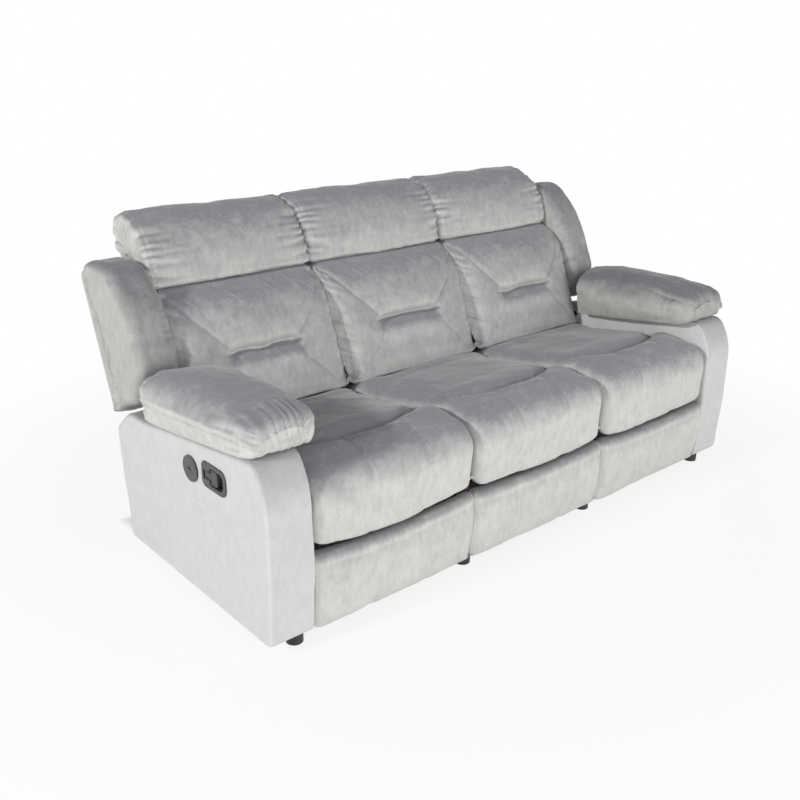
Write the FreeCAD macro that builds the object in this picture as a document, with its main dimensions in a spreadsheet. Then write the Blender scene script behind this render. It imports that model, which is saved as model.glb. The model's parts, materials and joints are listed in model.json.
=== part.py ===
import FreeCAD, Part
import math
import os

# Reclining sofa: two reclining end seats, one fixed middle seat. Millimetres.
# Modelled with Y counted back from the plane of the arms' front feet.
# Every finished piece is then moved forward by half_depth, so that the
# origin sits on the floor under the centre of the sofa. +Z is up, the
# seats face -Y. The right-hand pieces (+X) are drawn, the left ones mirror them.

V = FreeCAD.Vector
doc = FreeCAD.newDocument("reclining_sofa")
sheet = doc.addObject("Spreadsheet::Sheet", "sizes")
value = {}
row_count = 0


def size(alias, number):
    global row_count
    row_count += 1
    value[alias] = float(number)
    sheet.set("A%d" % row_count, alias)
    sheet.set("B%d" % row_count, str(number))
    sheet.setAlias("B%d" % row_count, alias)
    return float(number)


def derived(alias, formula, number):
    # A size that follows others, in the sheet as well as here.
    size(alias, number)
    sheet.set("B%d" % row_count, "=" + formula)
    return number


# Overall sizes, read from the photo with the camera fitted to it.
half_depth = size("half_depth", 515)
seat_split = size("seat_split", 295)
seat_width = size("seat_width", 576.5)
soft_gap = size("soft_gap", 1.5)
arm_width = size("arm_width", 141)
arm_wall = size("arm_wall", 20)
arm_inner = derived("arm_inner", "seat_split + 1 + seat_width + soft_gap",
                    seat_split + 1 + seat_width + soft_gap)
arm_outer = derived("arm_outer", "arm_inner + arm_width", arm_inner + arm_width)
cover_bottom = size("cover_bottom", 34)
frame_bottom = size("frame_bottom", 62)
foot_radius = size("foot_radius", 24)
foot_height = size("foot_height", 31)
stem_radius = size("stem_radius", 9)

# Seat, deck and springs.
deck_top = size("deck_top", 292)
deck_height = size("deck_height", 30)
deck_rail = size("deck_rail", 42)
deck_front = size("deck_front", 64)
deck_back = size("deck_back", 640)
spring_wire = size("spring_wire", 5)
cushion_base = size("cushion_base", 297)
seam_offset = size("seam_offset", 101)
seam_draw = size("seam_draw", 7)
lip_height = size("lip_height", 256)

# Back, measured along its lean.
back_pivot_y = size("back_pivot_y", 700)
back_pivot_z = size("back_pivot_z", 300)
rear_low_y = size("rear_low_y", 800)
rear_low_z = size("rear_low_z", 291)
rear_top_y = size("rear_top_y", 1000)
rear_top_z = size("rear_top_z", 853)
cover_thick = size("cover_thick", 14)
back_board = size("back_board", 95)
post_width = size("post_width", 22)

# Footrest linkage: pivots at rest, seen from the side.
plate_thick = size("plate_thick", 4)
layer_pitch = size("layer_pitch", 5)
plate_inset = size("plate_inset", 16)
plate_inner = derived("plate_inner", "seat_split + 1 + plate_inset", seat_split + 1 + plate_inset)
plate_outer = derived("plate_outer", "arm_inner - soft_gap - plate_inset - plate_thick - 0.5",
                      arm_inner - soft_gap - plate_inset - plate_thick - 0.5)
link_half = size("link_half", 11)
pin_radius = size("pin_radius", 5)
pin_clearance = size("pin_clearance", 0.08)
open_clearance = size("open_clearance", 1.7)
lift_pivot = (size("lift_pivot_y", 112), size("lift_pivot_z", 228))
lift_length = size("lift_length", 168)
reach_length = size("reach_length", 165)
reach_angle = size("reach_angle", 82)
control_pivot = (size("control_pivot_y", 66.1), size("control_pivot_z", 183.6))
control_tip = (size("control_tip_y", 84.6), size("control_tip_z", 54.1))
back_pin_radius = size("back_pin_radius", 8)
footrest_top = size("footrest_top", 247)
footrest_bottom = size("footrest_bottom", 36)
board_front = size("board_front", 30)
board_thick = size("board_thick", 15)

# Release handle and charging socket in the arm's outer side.
bezel_y = size("bezel_y", 236)
bezel_z = size("bezel_z", 437)
bezel_length = size("bezel_length", 120)
bezel_height = size("bezel_height", 76)
cup_length = size("cup_length", 104)
cup_height = size("cup_height", 60)
cup_depth = size("cup_depth", 34)
flange_thick = size("flange_thick", 4)
socket_y = size("socket_y", 359)
socket_z = size("socket_z", 424)
socket_radius = size("socket_radius", 37.5)
socket_neck = size("socket_neck", 27)
cable_radius = size("cable_radius", 3)
cable_bend = size("cable_bend", 60)

half_middle = seat_split - 1.0
seat_low = seat_split + 1.0
seat_high = arm_inner - soft_gap
seat_mid = 0.5 * (seat_low + seat_high)
seat_half = 0.5 * (seat_high - seat_low)
doc.recompute()

pieces = {}


def bind(target, prop, amount):
    # A string is bound to the sheet, a number is set as it is.
    if isinstance(amount, str):
        target.setExpression(prop, amount)
    else:
        holder, _, last = prop.rpartition(".")
        if not holder:
            setattr(target, prop, amount)
        else:
            spot = target.Placement
            base = V(spot.Base)
            setattr(base, last, amount)
            target.Placement = FreeCAD.Placement(base, spot.Rotation)


def block(name, x, y, z, long_x, long_y, long_z):
    target = doc.addObject("Part::Box", name)
    bind(target, "Length", long_x)
    bind(target, "Width", long_y)
    bind(target, "Height", long_z)
    bind(target, "Placement.Base.x", x)
    bind(target, "Placement.Base.y", y)
    bind(target, "Placement.Base.z", z)
    return target


def rod(name, centre, radius, height, direction=(0, 0, 1)):
    target = doc.addObject("Part::Cylinder", name)
    bind(target, "Radius", radius)
    bind(target, "Height", height)
    turn = FreeCAD.Rotation(V(0, 0, 1), V(*direction))
    target.Placement = FreeCAD.Placement(V(*centre), turn)
    return target


def prism(name, centre, radius, height, sides, direction=(1, 0, 0)):
    target = doc.addObject("Part::Prism", name)
    target.Polygon = sides
    bind(target, "Circumradius", radius)
    bind(target, "Height", height)
    turn_to = FreeCAD.Rotation(V(0, 0, 1), V(*direction))
    target.Placement = FreeCAD.Placement(V(*centre), turn_to)
    return target


def origin_plane(body, role):
    return [part for part in body.Origin.OriginFeatures if part.Role == role][0]


def draw(body, name, role, offset, path):
    # path: a start point, then end points, each with an arc's middle or None.
    sketch = body.newObject("Sketcher::SketchObject", name)
    sketch.AttachmentSupport = [(origin_plane(body, role), "")]
    sketch.MapMode = "FlatFace"
    if isinstance(offset, str):
        sketch.setExpression("AttachmentOffset.Base.z", offset)
    else:
        sketch.AttachmentOffset = FreeCAD.Placement(V(0, 0, offset), FreeCAD.Rotation())
    here = V(path[0][0], path[0][1], 0)
    first = here
    steps = list(path[1:]) + [(first.x, first.y, path[0][2])]
    for across, up, middle in steps:
        there = V(across, up, 0)
        if (there - here).Length < 1e-6:
            continue
        if middle is None:
            sketch.addGeometry(Part.LineSegment(here, there), False)
        else:
            sketch.addGeometry(Part.Arc(here, V(middle[0], middle[1], 0), there), False)
        here = there
    return sketch


def new_body(name):
    return doc.addObject("PartDesign::Body", name)


def slab(name, role, offset, path, length):
    # A padded profile, its thickness bound to the sheet where it is a string.
    body = new_body(name)
    sketch = draw(body, name + "_profile", role, offset, path)
    pad = body.newObject("PartDesign::Pad", name + "_pad")
    pad.Profile = sketch
    bind(pad, "Length", length)
    body.Tip = pad
    return body


def flatten(path, steps=4):
    # The same path with each arc as a few chords, which keeps a loft light.
    points = []
    count = len(path)
    for number in range(count):
        a = path[number]
        b = path[(number + 1) % count]
        points.append((a[0], a[1]))
        middle = b[2]
        if middle is None:
            continue
        # Centre of the circle through the start, the middle and the end.
        ax, ay = a[0] - middle[0], a[1] - middle[1]
        bx, by = b[0] - middle[0], b[1] - middle[1]
        cross = 2.0 * (ax * by - ay * bx)
        if abs(cross) < 1e-6:
            continue
        la = ax * ax + ay * ay
        lb = bx * bx + by * by
        cx = middle[0] + (by * la - ay * lb) / cross
        cy = middle[1] + (ax * lb - bx * la) / cross
        radius = math.hypot(a[0] - cx, a[1] - cy)
        begin = math.atan2(a[1] - cy, a[0] - cx)
        half = math.atan2(middle[1] - cy, middle[0] - cx) - begin
        half = (half + math.pi) % (2 * math.pi) - math.pi
        rest = math.atan2(b[1] - cy, b[0] - cx) - begin
        rest = (rest + math.pi) % (2 * math.pi) - math.pi
        if half * rest < 0:
            rest += math.copysign(2 * math.pi, half)
        for step in range(1, steps):
            angle = begin + rest * step / steps
            points.append((cx + radius * math.cos(angle), cy + radius * math.sin(angle)))
    return corners(points)


def skin(name, role, stations):
    # A loft through the same path drawn at several stations.
    stations = [(offset, flatten(path)) for offset, path in stations]
    body = new_body(name)
    drawn = []
    for number, (offset, path) in enumerate(stations):
        drawn.append(draw(body, "%s_station_%d" % (name, number), role, offset, path))
    loft = body.newObject("PartDesign::AdditiveLoft", name + "_loft")
    loft.Profile = drawn[0]
    loft.Sections = drawn[1:]
    loft.Ruled = True
    body.Tip = loft
    return body


def corners(points):
    return [(a, b, None) for a, b in points]


def hull_path(centres, radius):
    # Outline of a plate that rounds every pivot: centres run anticlockwise.
    path = []
    count = len(centres)
    normals = []
    for number in range(count):
        a = centres[number]
        b = centres[(number + 1) % count]
        far = math.hypot(b[0] - a[0], b[1] - a[1])
        normals.append(((b[1] - a[1]) / far, -(b[0] - a[0]) / far))
    for number in range(count):
        a = centres[number]
        before = normals[number - 1]
        after = normals[number]
        turn_from = math.atan2(before[1], before[0])
        turn_to = math.atan2(after[1], after[0])
        while turn_to < turn_from - 1e-9:
            turn_to += 2 * math.pi
        half = 0.5 * (turn_from + turn_to)
        start = (a[0] + radius * before[0], a[1] + radius * before[1])
        middle = (a[0] + radius * math.cos(half), a[1] + radius * math.sin(half))
        end = (a[0] + radius * after[0], a[1] + radius * after[1])
        path.append((start[0], start[1], None))
        path.append((end[0], end[1], middle))
    return flatten(path, 3)


def join(name, parts):
    if len(parts) == 1:
        return parts[0]
    target = doc.addObject("Part::MultiFuse", name)
    target.Shapes = parts
    target.Refine = True
    return target


def group(name, parts):
    # Separate solids kept side by side in one node.
    target = doc.addObject("Part::Compound", name)
    target.Links = parts
    return target


def carve(name, base, tools):
    target = doc.addObject("Part::Cut", name)
    target.Base = base
    target.Tool = join(name + "_tools", tools)
    return target


def mirrored(name, source):
    target = doc.addObject("Part::Mirroring", name)
    target.Source = source
    target.Base = V(0, 0, 0)
    target.Normal = V(1, 0, 0)
    return target


def finish(node, target):
    target.Label = node
    target.setExpression("Placement.Base.y", "-sizes.half_depth")
    pieces[node] = target
    return target


def both_sides(node, target):
    finish("right_" + node, target)
    twin = mirrored("left_" + node + "_mirror", target)
    twin.Label = "left_" + node
    pieces["left_" + node] = twin
    return twin


def rear_y(z):
    # The back's outer face at height z.
    lean = (rear_top_y - rear_low_y) / (rear_top_z - rear_low_z)
    return rear_low_y + lean * (z - rear_low_z)


# Seat cushions: a loft across the width, crowned between its seams, with a
# rolled front edge that droops in the middle.
def seat_path(inset, crown, lip):
    front = -13 + inset
    top = crown - inset
    path = [(648, cushion_base, None)]
    path.append((648, 398 + 0.2 * top, None))
    path.append((578, 417 + 0.4 * top, None))
    path.append((262, 459 + top, None))
    path.append((72, 480 + top, (165, 484 + top)))
    path.append((front, 385, (front + 17, 452 + top)))
    path.append((front + 5, lip + 22, None))
    path.append((34, lip + 10, (front + 22, lip)))
    path.append((62, cushion_base, None))
    return path


def widths(half):
    # Offsets from the cushion's centre, with how far the cloth is drawn in.
    inner = seam_offset - 24
    outer = seam_offset + 24
    rest = [(half, 16), (half - 8, 7), (half - 26, 1), (half - 90, -3)]
    rest += [(outer, 0), (seam_offset, seam_draw), (inner, 0), (0.35 * seam_offset, -3)]
    left = [(-offset, draw_in) for offset, draw_in in rest]
    return left + rest[::-1]


def seat_cushion(name, middle, half):
    stations = []
    for offset, inset in widths(half):
        crown = 15 * (1 - (offset / half) ** 2)
        lip = lip_height + 20 * (abs(offset) / half) ** 2
        stations.append((middle + offset, seat_path(inset, crown, lip)))
    return skin(name, "YZ_Plane", stations)


def footrest_path(inset, rise):
    rear = board_front
    top = footrest_top + rise - 0.5 * inset
    path = [(rear, footrest_bottom, None)]
    path.append((rear, top, None))
    path.append((8 + inset, top, None))
    path.append((-13 + inset, top - 30, (-8 + inset, top - 6)))
    path.append((-8 + inset, 90, (-17 + inset, 150)))
    path.append((2 + inset, footrest_bottom, None))
    return path


def front_pad(name, middle, half):
    stations = []
    for offset, inset in widths(half):
        rise = 14 * (offset / half) ** 2
        stations.append((middle + offset, footrest_path(0.7 * inset + 2, rise)))
    return skin(name, "YZ_Plane", stations)


def back_path(inset, crown):
    # Lower back cushion, from the seat up to the crease under the head roll.
    # Depths are measured forward from the back's outer face.
    push = inset - crown
    path = [(rear_y(430) - back_board - cover_thick, 430, None)]
    path.append((rear_y(429) - 265.1 + push, 429, None))
    path.append((rear_y(655) - 257.5 + push, 655, (rear_y(545) - 266.4 + push, 545)))
    path.append((rear_y(796) - 189.7 + 0.6 * push, 796, (rear_y(733) - 245.3 + push, 733)))
    path.append((rear_y(796) - back_board - cover_thick, 796, None))
    return path


def roll_path(inset):
    # Head roll, above the crease and over the top of the back frame.
    behind = rear_top_y
    path = [(behind - 198 + inset, 796, None)]
    path.append((behind - 142 + inset, 942 - inset, (behind - 182 + inset, 880)))
    path.append((behind - 49, 1000 - inset, (behind - 101, 981 - inset)))
    path.append((behind + 42 - inset, 926, (behind + 22 - inset, 985 - inset)))
    path.append((behind + 4, 854, (behind + 33 - inset, 880)))
    path.append((behind - 106, 854, None))
    path.append((rear_y(796) - back_board - 16.7, 796, None))
    return path


def across(name, middle, half, path_at):
    stations = []
    for inward in (0, 8, 22, 50, 110, 190):
        offset = half - inward
        stations.append((middle + offset, path_at(offset / half)))
        stations.append((middle - offset, path_at(-offset / half)))
    stations.sort()
    return skin(name, "YZ_Plane", stations)


def back_cushion(name, middle, half):
    def path_at(share):
        return back_path(26 * abs(share) ** 10, 14 * (1 - share * share))
    return across(name, middle, half, path_at)


def head_roll(name, middle, half):
    def path_at(share):
        return roll_path(24 * abs(share) ** 10 - 8 * (1 - share * share))
    return across(name, middle, half, path_at)


def back_panel(name, low, high):
    # The outer cover of a back, a thin panel along its lean.
    path = corners([
        (rear_low_y - cover_thick, rear_low_z), (rear_low_y, rear_low_z),
        (rear_y(854), 854), (rear_y(854) - cover_thick, 854)])
    return slab(name, "YZ_Plane", low, path, high - low)


def back_frame(name, low, high):
    # Two side posts and four rails, all between the springs and the cover.
    front = back_board + cover_thick
    base_z = rear_low_z + 3
    top_z = 790
    post_path = corners([
        (rear_y(base_z) - front, base_z), (rear_y(base_z) - cover_thick, base_z),
        (rear_y(top_z) - cover_thick, top_z), (rear_y(top_z) - front, top_z)])
    parts = [slab(name + "_post_a", "YZ_Plane", low, post_path, "sizes.post_width")]
    parts.append(slab(name + "_post_b", "YZ_Plane", high - post_width, post_path,
                      "sizes.post_width"))
    for number, z in enumerate((base_z, 440, 620, top_z - 34)):
        y = rear_y(z) - cover_thick - 30
        parts.append(block("%s_rail_%d" % (name, number), low + 2, y, z,
                           high - low - 4, 26, 34))
    head_path = corners([
        (rear_y(top_z) - 80, top_z), (rear_y(top_z) - cover_thick, top_z),
        (rear_y(854) - cover_thick, 854), (rear_y(854) - back_board, 854)])
    parts.append(slab(name + "_head_rail", "YZ_Plane", low, head_path, high - low))
    return join(name, parts)


def deck(name, low, high, z_low):
    # Seat deck ring: side, front and rear rails.
    height = deck_top - z_low
    span = deck_back - deck_front
    parts = [block(name + "_side_a", low, "sizes.deck_front", z_low, "sizes.deck_rail", span, height)]
    parts.append(block(name + "_side_b", high - deck_rail, "sizes.deck_front", z_low,
                       "sizes.deck_rail", span, height))
    parts.append(block(name + "_front", low, "sizes.deck_front", z_low, high - low,
                       "sizes.deck_rail", height))
    parts.append(block(name + "_rear", low, deck_back - deck_rail, z_low, high - low,
                       "sizes.deck_rail", height))
    return parts


def zigzag(name, middle):
    # One sinuous spring, a flat wave of square wire from front to back.
    waves = 9
    reach = 22.0
    start = deck_front + 14
    pitch = (deck_back - deck_front - 28) / waves
    wire = spring_wire
    left = []
    right = []
    for number in range(waves):
        side = 1 if number % 2 == 0 else -1
        y = start + number * pitch
        left += [(middle - side * reach, y), (middle + side * reach, y)]
    path = left + [(left[-1][0], start + waves * pitch)]
    outline = []
    back = []
    for number, (x, y) in enumerate(path):
        before = path[max(number - 1, 0)]
        after = path[min(number + 1, len(path) - 1)]
        in_x, in_y = _unit(before, (x, y))
        out_x, out_y = _unit((x, y), after)
        if number == 0:
            in_x, in_y = out_x, out_y
        if number == len(path) - 1:
            out_x, out_y = in_x, in_y
        nx = -(in_y + out_y)
        ny = in_x + out_x
        far = max(0.5, 0.5 * (nx * nx + ny * ny))
        outline.append((x + 0.5 * wire * nx / far, y + 0.5 * wire * ny / far))
        back.append((x - 0.5 * wire * nx / far, y - 0.5 * wire * ny / far))
    return slab(name, "XY_Plane", "sizes.deck_top", corners(outline + back[::-1]),
                "sizes.spring_wire")


def _unit(a, b):
    far = math.hypot(b[0] - a[0], b[1] - a[1])
    if far < 1e-9:
        return 0.0, 0.0
    return (b[0] - a[0]) / far, (b[1] - a[1]) / far


def spring_set(name, middle, half):
    step = (2 * half - 2 * deck_rail) / 4
    made = []
    for number in range(4):
        made.append(zigzag("%s_%d" % (name, number), middle + (number - 1.5) * step))
    return group(name, made)


# Arm: foam and cloth over a wooden frame, open underneath.
def arm_path(inset):
    path = [(2 + inset, cover_bottom, None), (-7 + inset, 190, None), (-5 + inset, 390, None)]
    path.append((54, 548 - inset, (8 + inset, 480 - 0.5 * inset)))
    path.append((640, 470 - inset, None))
    path.append((731 - 0.4 * inset, 468 - inset, None))
    path.append((825 - inset, 395 - 0.4 * inset, None))
    path.append((811 - inset, 300, None))
    path.append((792 - inset, cover_bottom, None))
    return path


arm_solid = skin("arm_solid", "YZ_Plane", [
    (arm_inner, arm_path(7)), (arm_inner + 3, arm_path(2)), (arm_inner + 9, arm_path(0)),
    (arm_outer - 12, arm_path(0)), (arm_outer - 4, arm_path(3)), (arm_outer, arm_path(10))])
hollow_path = corners([(22, 0), (22, 470), (72, 512), (640, 440), (715, 436),
                       (772, 392), (768, 0)])
arm_hollow = slab("arm_hollow", "YZ_Plane", arm_inner + arm_wall, hollow_path,
                  arm_outer - arm_inner - 2 * arm_wall)
handle_hole = block("handle_hole", arm_outer - arm_wall - 5, bezel_y - 0.5 * cup_length,
                    bezel_z - 0.5 * cup_height, arm_wall + 10, "sizes.cup_length",
                    "sizes.cup_height")
cable_hole = rod("cable_hole", (arm_inner - 5, bezel_y, 96), 7, arm_wall + 10, (1, 0, 0))
tube_holes = []
tube_places = (178, 706)
tube_size = size("tube_size", 26)
tube_low = size("tube_low", 36)
for number, y in enumerate(tube_places):
    tube_holes.append(block("tube_hole_%d" % number, arm_inner - 5, y - 1, 0,
                            arm_wall + 6, tube_size + 2, tube_low + tube_size))
arm_cover = carve("arm_cover_right", arm_solid,
                  [arm_hollow, handle_hole, cable_hole] + tube_holes)
arm_twin = both_sides("arm_cover", arm_cover)
socket_hole = rod("socket_hole", (-arm_outer - 5, socket_y - half_depth, socket_z),
                  "sizes.socket_neck", arm_wall + 8, (1, 0, 0))
left_arm = carve("left_arm_with_socket_hole", arm_twin, [socket_hole])
left_arm.Label = "left_arm_cover"
arm_twin.Label = "left_arm_before_socket"
pieces["left_arm_cover"] = left_arm

# Arm frame: an inner board with rails and posts that hold the cloth out.
hold_in = arm_inner + arm_wall
hold_wide = arm_outer - arm_inner - 2 * arm_wall
board_path = corners([(22, frame_bottom), (22, 470), (72, 512), (640, 440), (715, 436),
                      (772, 392), (768, frame_bottom)])
frame_parts = [slab("arm_board", "YZ_Plane", hold_in, board_path, 18)]
frame_parts.append(block("arm_sill", hold_in, 22, "sizes.frame_bottom", hold_wide, 746, 34))
frame_parts.append(block("arm_front_post", hold_in, 22, "sizes.frame_bottom", hold_wide, 34, 400))
frame_parts.append(block("arm_rear_post", hold_in, 734, "sizes.frame_bottom", hold_wide, 34, 320))
top_path = corners([(72, 490), (72, 512), (640, 440), (640, 418)])
frame_parts.append(slab("arm_top_board", "YZ_Plane", hold_in, top_path, hold_wide - 18))
arm_frame = join("arm_frame_right", frame_parts)
frame_hole = rod("frame_cable_hole", (hold_in - 5, bezel_y, 96), 7, 60, (1, 0, 0))
arm_frame = carve("arm_frame_drilled", arm_frame, [frame_hole])


# Arm pad: a pillow lofted from the front tip to the back.
def pad_bottom(y):
    return 548 - 0.1331 * (y - 54)


pad_stations = []
for y, inner, outer, lift, tall in (
        (44, 52, -19, 30, 44), (50, 74, -3, 16, 78), (64, 88, 10, 5, 106),
        (100, 98, 17, 0, 124),
        (200, 103, 19, 0, 146), (330, 103, 19, 0, 160), (460, 101, 19, 0, 170),
        (545, 90, 17, 0, 172), (590, -6, 15, 0, 168), (616, -16, 12, 3, 156),
        (632, -30, 1, 12, 126)):
    # How far the pillow hangs over the arm's inner and outer side.
    low_z = pad_bottom(y) + lift
    pad_stations.append((y, arm_inner - inner, arm_outer + outer, low_z, tall))


def pad_section(low_x, high_x, low_z, tall):
    high_z = low_z + tall
    soft = 42
    side = low_z + 0.5 * tall
    start = (low_x + 16, low_z)
    path = [(start[0], start[1], None)]
    path.append((high_x - 8, low_z, None))
    path.append((high_x, side, (high_x + 2, 0.5 * (low_z + side))))
    path.append((high_x - soft, high_z - 7, (high_x - 0.24 * soft, high_z - 0.44 * soft)))
    path.append((low_x + soft, high_z - 7, (0.5 * (low_x + high_x), high_z)))
    path.append((low_x, side, (low_x + 0.24 * soft, high_z - 0.44 * soft)))
    path[0] = (start[0], start[1], (low_x + 3, 0.5 * (low_z + side)))
    return path


stations = []
for y, low_x, high_x, low_z, tall in pad_stations:
    stations.append((-y, pad_section(low_x, high_x - 8, low_z, tall)))
both_sides("arm_pad", skin("arm_pad_right", "XZ_Plane", stations))

# Handle bezel: a flange and an open cup that the paddle hangs in.
bezel_flange = block("bezel_flange", "sizes.arm_outer", bezel_y - 0.5 * bezel_length,
                     bezel_z - 0.5 * bezel_height, "sizes.flange_thick",
                     "sizes.bezel_length", "sizes.bezel_height")
bezel_cup = block("bezel_cup", arm_outer - cup_depth, bezel_y - 0.5 * cup_length,
                  bezel_z - 0.5 * cup_height, cup_depth + 1, "sizes.cup_length",
                  "sizes.cup_height")
bezel_body = join("bezel_body", [bezel_flange, bezel_cup])
wall = 4
bezel_space = block("bezel_space", arm_outer - cup_depth + wall,
                    bezel_y - 0.5 * cup_length + wall, bezel_z - 0.5 * cup_height + wall,
                    cup_depth + flange_thick, cup_length - 2 * wall, cup_height - 2 * wall)
cable_entry = rod("cable_entry", (arm_outer - 26, bezel_y, bezel_z - 0.5 * cup_height - 5),
                  cable_radius + 0.4, 12)
both_sides("handle_bezel", carve("handle_bezel_right", bezel_body, [bezel_space, cable_entry]))

# Paddle: a neck on an axle and a wide blade, all inside the cup.
axle_y = bezel_y + 36
paddle_x = arm_outer - 5
neck = block("paddle_neck", paddle_x, bezel_y + 6, bezel_z - 11, 9, 38, 22)
blade_path = corners([(bezel_y - 32, bezel_z - 21), (bezel_y + 8, bezel_z - 25),
                      (bezel_y + 8, bezel_z + 25), (bezel_y - 32, bezel_z + 21)])
blade = slab("paddle_blade", "YZ_Plane", paddle_x + 1, blade_path, 8)
barrel = rod("paddle_barrel", (paddle_x + 4.5, axle_y, bezel_z - 25.5), 6, 51)
crank = block("paddle_crank", paddle_x - 18, axle_y - 5, bezel_z - 6, 18, 8, 12)
both_sides("release_paddle", join("release_paddle_right", [neck, blade, barrel, crank]))

# Release cable: down inside the arm, then in through the arm's inner wall.
cable_x = arm_outer - 26
cable_low = 96
turn_x = cable_x - cable_bend
down = Part.LineSegment(V(cable_x, bezel_y, bezel_z - 0.5 * cup_height + 8),
                        V(cable_x, bezel_y, cable_low + cable_bend))
lean_in = math.sqrt(0.5)
bend = Part.Arc(V(cable_x, bezel_y, cable_low + cable_bend),
                V(turn_x + cable_bend * lean_in, bezel_y, cable_low + cable_bend - cable_bend * lean_in),
                V(turn_x, bezel_y, cable_low))
along = Part.LineSegment(V(turn_x, bezel_y, cable_low), V(plate_outer + 9, bezel_y, cable_low))
route = Part.Wire([down.toShape(), bend.toShape(), along.toShape()])
corner_points = []
for number in range(7):
    angle = math.radians(60 * number)
    corner_points.append(V(cable_x + cable_radius * math.cos(angle),
                           bezel_y + cable_radius * math.sin(angle), bezel_z - 0.5 * cup_height + 8))
ring = Part.makePolygon(corner_points)
cable_right = doc.addObject("Part::Feature", "cable_right")
cable_right.Shape = route.makePipeShell([ring], True, True)
cable_left = mirrored("cable_left", cable_right)
finish("release_cables", group("release_cables", [cable_right, cable_left]))

# Charging socket on the left arm only.
disc = rod("socket_disc", (-arm_outer - 5, socket_y, socket_z), "sizes.socket_radius", 5, (1, 0, 0))
neck = rod("socket_body", (-arm_outer - 1, socket_y, socket_z), socket_neck - 0.3, 30, (1, 0, 0))
socket_body = join("socket_joined", [disc, neck])
port = block("socket_port", -arm_outer - 6, socket_y - 8, socket_z - 3.5, 20, 16, 7)
finish("charging_socket", carve("charging_socket", socket_body, [port]))

# Wooden arm frames, both in one node.
finish("arm_frames", group("arm_frames", [arm_frame, mirrored("arm_frame_left", arm_frame)]))

# Feet: a disc with a stem up to the frames.
feet = []
for number, (x, y) in enumerate((
        (arm_inner + 40, 42), (arm_inner + 40, 742), (seat_split - 12, 52), (seat_split - 12, 742))):
    for side in (-1, 1):
        name = "foot_%d_%s" % (number, "left" if side < 0 else "right")
        disc = rod(name + "_disc", (side * x, y, 0), "sizes.foot_radius", "sizes.foot_height")
        stem = block(name + "_stem", side * x - stem_radius, y - stem_radius, 20,
                     2 * stem_radius, 2 * stem_radius, frame_bottom - 20)
        feet.append(join(name, [disc, stem]))
finish("feet", group("feet", feet))

# Two cross tubes carry the frames and the mechanisms.
tubes = []
for number, y in enumerate(tube_places):
    outer = block("tube_outer_%d" % number, -arm_outer + 24, y, "sizes.tube_low",
                  2 * (arm_outer - 24), "sizes.tube_size", "sizes.tube_size")
    bore = block("tube_bore_%d" % number, -arm_outer, y + 2, tube_low + 2, 2 * arm_outer,
                 tube_size - 4, tube_size - 4)
    tubes.append(carve("cross_tube_%d" % number, outer, [bore]))
finish("cross_tubes", group("cross_tubes", tubes))

# Mechanism base rails: four angles that the seat plates slide on.
rails = []
rail_low = tube_low + tube_size
for number, x in enumerate((plate_inner - 8, plate_outer - 8)):
    foot_plate = block("rail_foot_%d" % number, x, 172, rail_low, 20, 566, 4)
    lip_x = plate_inner + plate_thick + 1 if number == 0 else plate_outer - 4
    lip = block("rail_lip_%d" % number, lip_x, 172, rail_low, 3, 566, 26)
    guide_x = plate_inner - 4 if number == 0 else plate_outer + plate_thick + 1
    guide = block("rail_guide_%d" % number, guide_x, 172, rail_low, 3, 566, 40)
    rails.append(join("rail_%d" % number, [foot_plate, lip, guide]))
right_rails = list(rails)
for number, rail in enumerate(right_rails):
    rails.append(mirrored("rail_mirror_%d" % number, rail))
finish("base_rails", group("base_rails", rails))

# Rear panel: the fixed lower strip of the sofa's back.
strip_thick = 13


def strip_y(z):
    # The rear strip's inner face, leaning like the arms' rear edge.
    return 778 + 29 * (z - cover_bottom) / 238.0


rear_strip = corners([(strip_y(34), cover_bottom), (strip_y(34) + strip_thick, cover_bottom),
                      (strip_y(272) + strip_thick, 272), (strip_y(272), 272)])
rear_panel = slab("rear_panel", "YZ_Plane", "-sizes.arm_inner + 1", rear_strip, "2 * sizes.arm_inner - 2")
finish("rear_panel", rear_panel)

# Middle seat, all of it fixed.
side_path = corners([
    (board_front, frame_bottom), (board_front, 246), (60, deck_top - deck_height),
    (strip_y(262), deck_top - deck_height), (strip_y(frame_bottom), frame_bottom)])
middle_parts = deck("middle_deck", -half_middle + 2, half_middle - 2, deck_top - deck_height)
middle_parts.append(slab("middle_side_a", "YZ_Plane", -half_middle + 2, side_path, 20))
middle_parts.append(slab("middle_side_b", "YZ_Plane", half_middle - 22, side_path, 20))
middle_parts.append(block("middle_front_rail", -half_middle + 2, "sizes.board_front",
                          "sizes.frame_bottom",
                          2 * half_middle - 4, 20, 60))
middle_parts.append(block("middle_rear_rail", -half_middle + 2, 756, "sizes.frame_bottom",
                          2 * half_middle - 4, 25, 160))
back_low = -half_middle + 20
for number, x in enumerate((-half_middle + 22, half_middle - 44)):
    brace_path = corners([(690, 200), (rear_y(200) - cover_thick - 4, 200),
                          (rear_y(400) - cover_thick - 4, 400),
                          (rear_y(400) - cover_thick - back_board, 400)])
    middle_parts.append(slab("middle_brace_%d" % number, "YZ_Plane", x, brace_path, 22))
middle_frame = join("middle_seat_frame", middle_parts)
finish("middle_seat_frame", middle_frame)
finish("middle_seat_springs", spring_set("middle_springs", 0, half_middle - 2))
finish("middle_seat_cushion", seat_cushion("middle_cushion", 0, half_middle))
finish("middle_front_pad", front_pad("middle_front", 0, half_middle))
finish("middle_back_cushion", back_cushion("middle_back", 0, half_middle))
finish("middle_head_roll", head_roll("middle_roll", 0, half_middle))
finish("middle_back_cover", back_panel("middle_cover", -half_middle, half_middle))
middle_back = back_frame("middle_back_frame", -half_middle + 44, half_middle - 44)
finish("middle_back_frame", middle_back)

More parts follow.
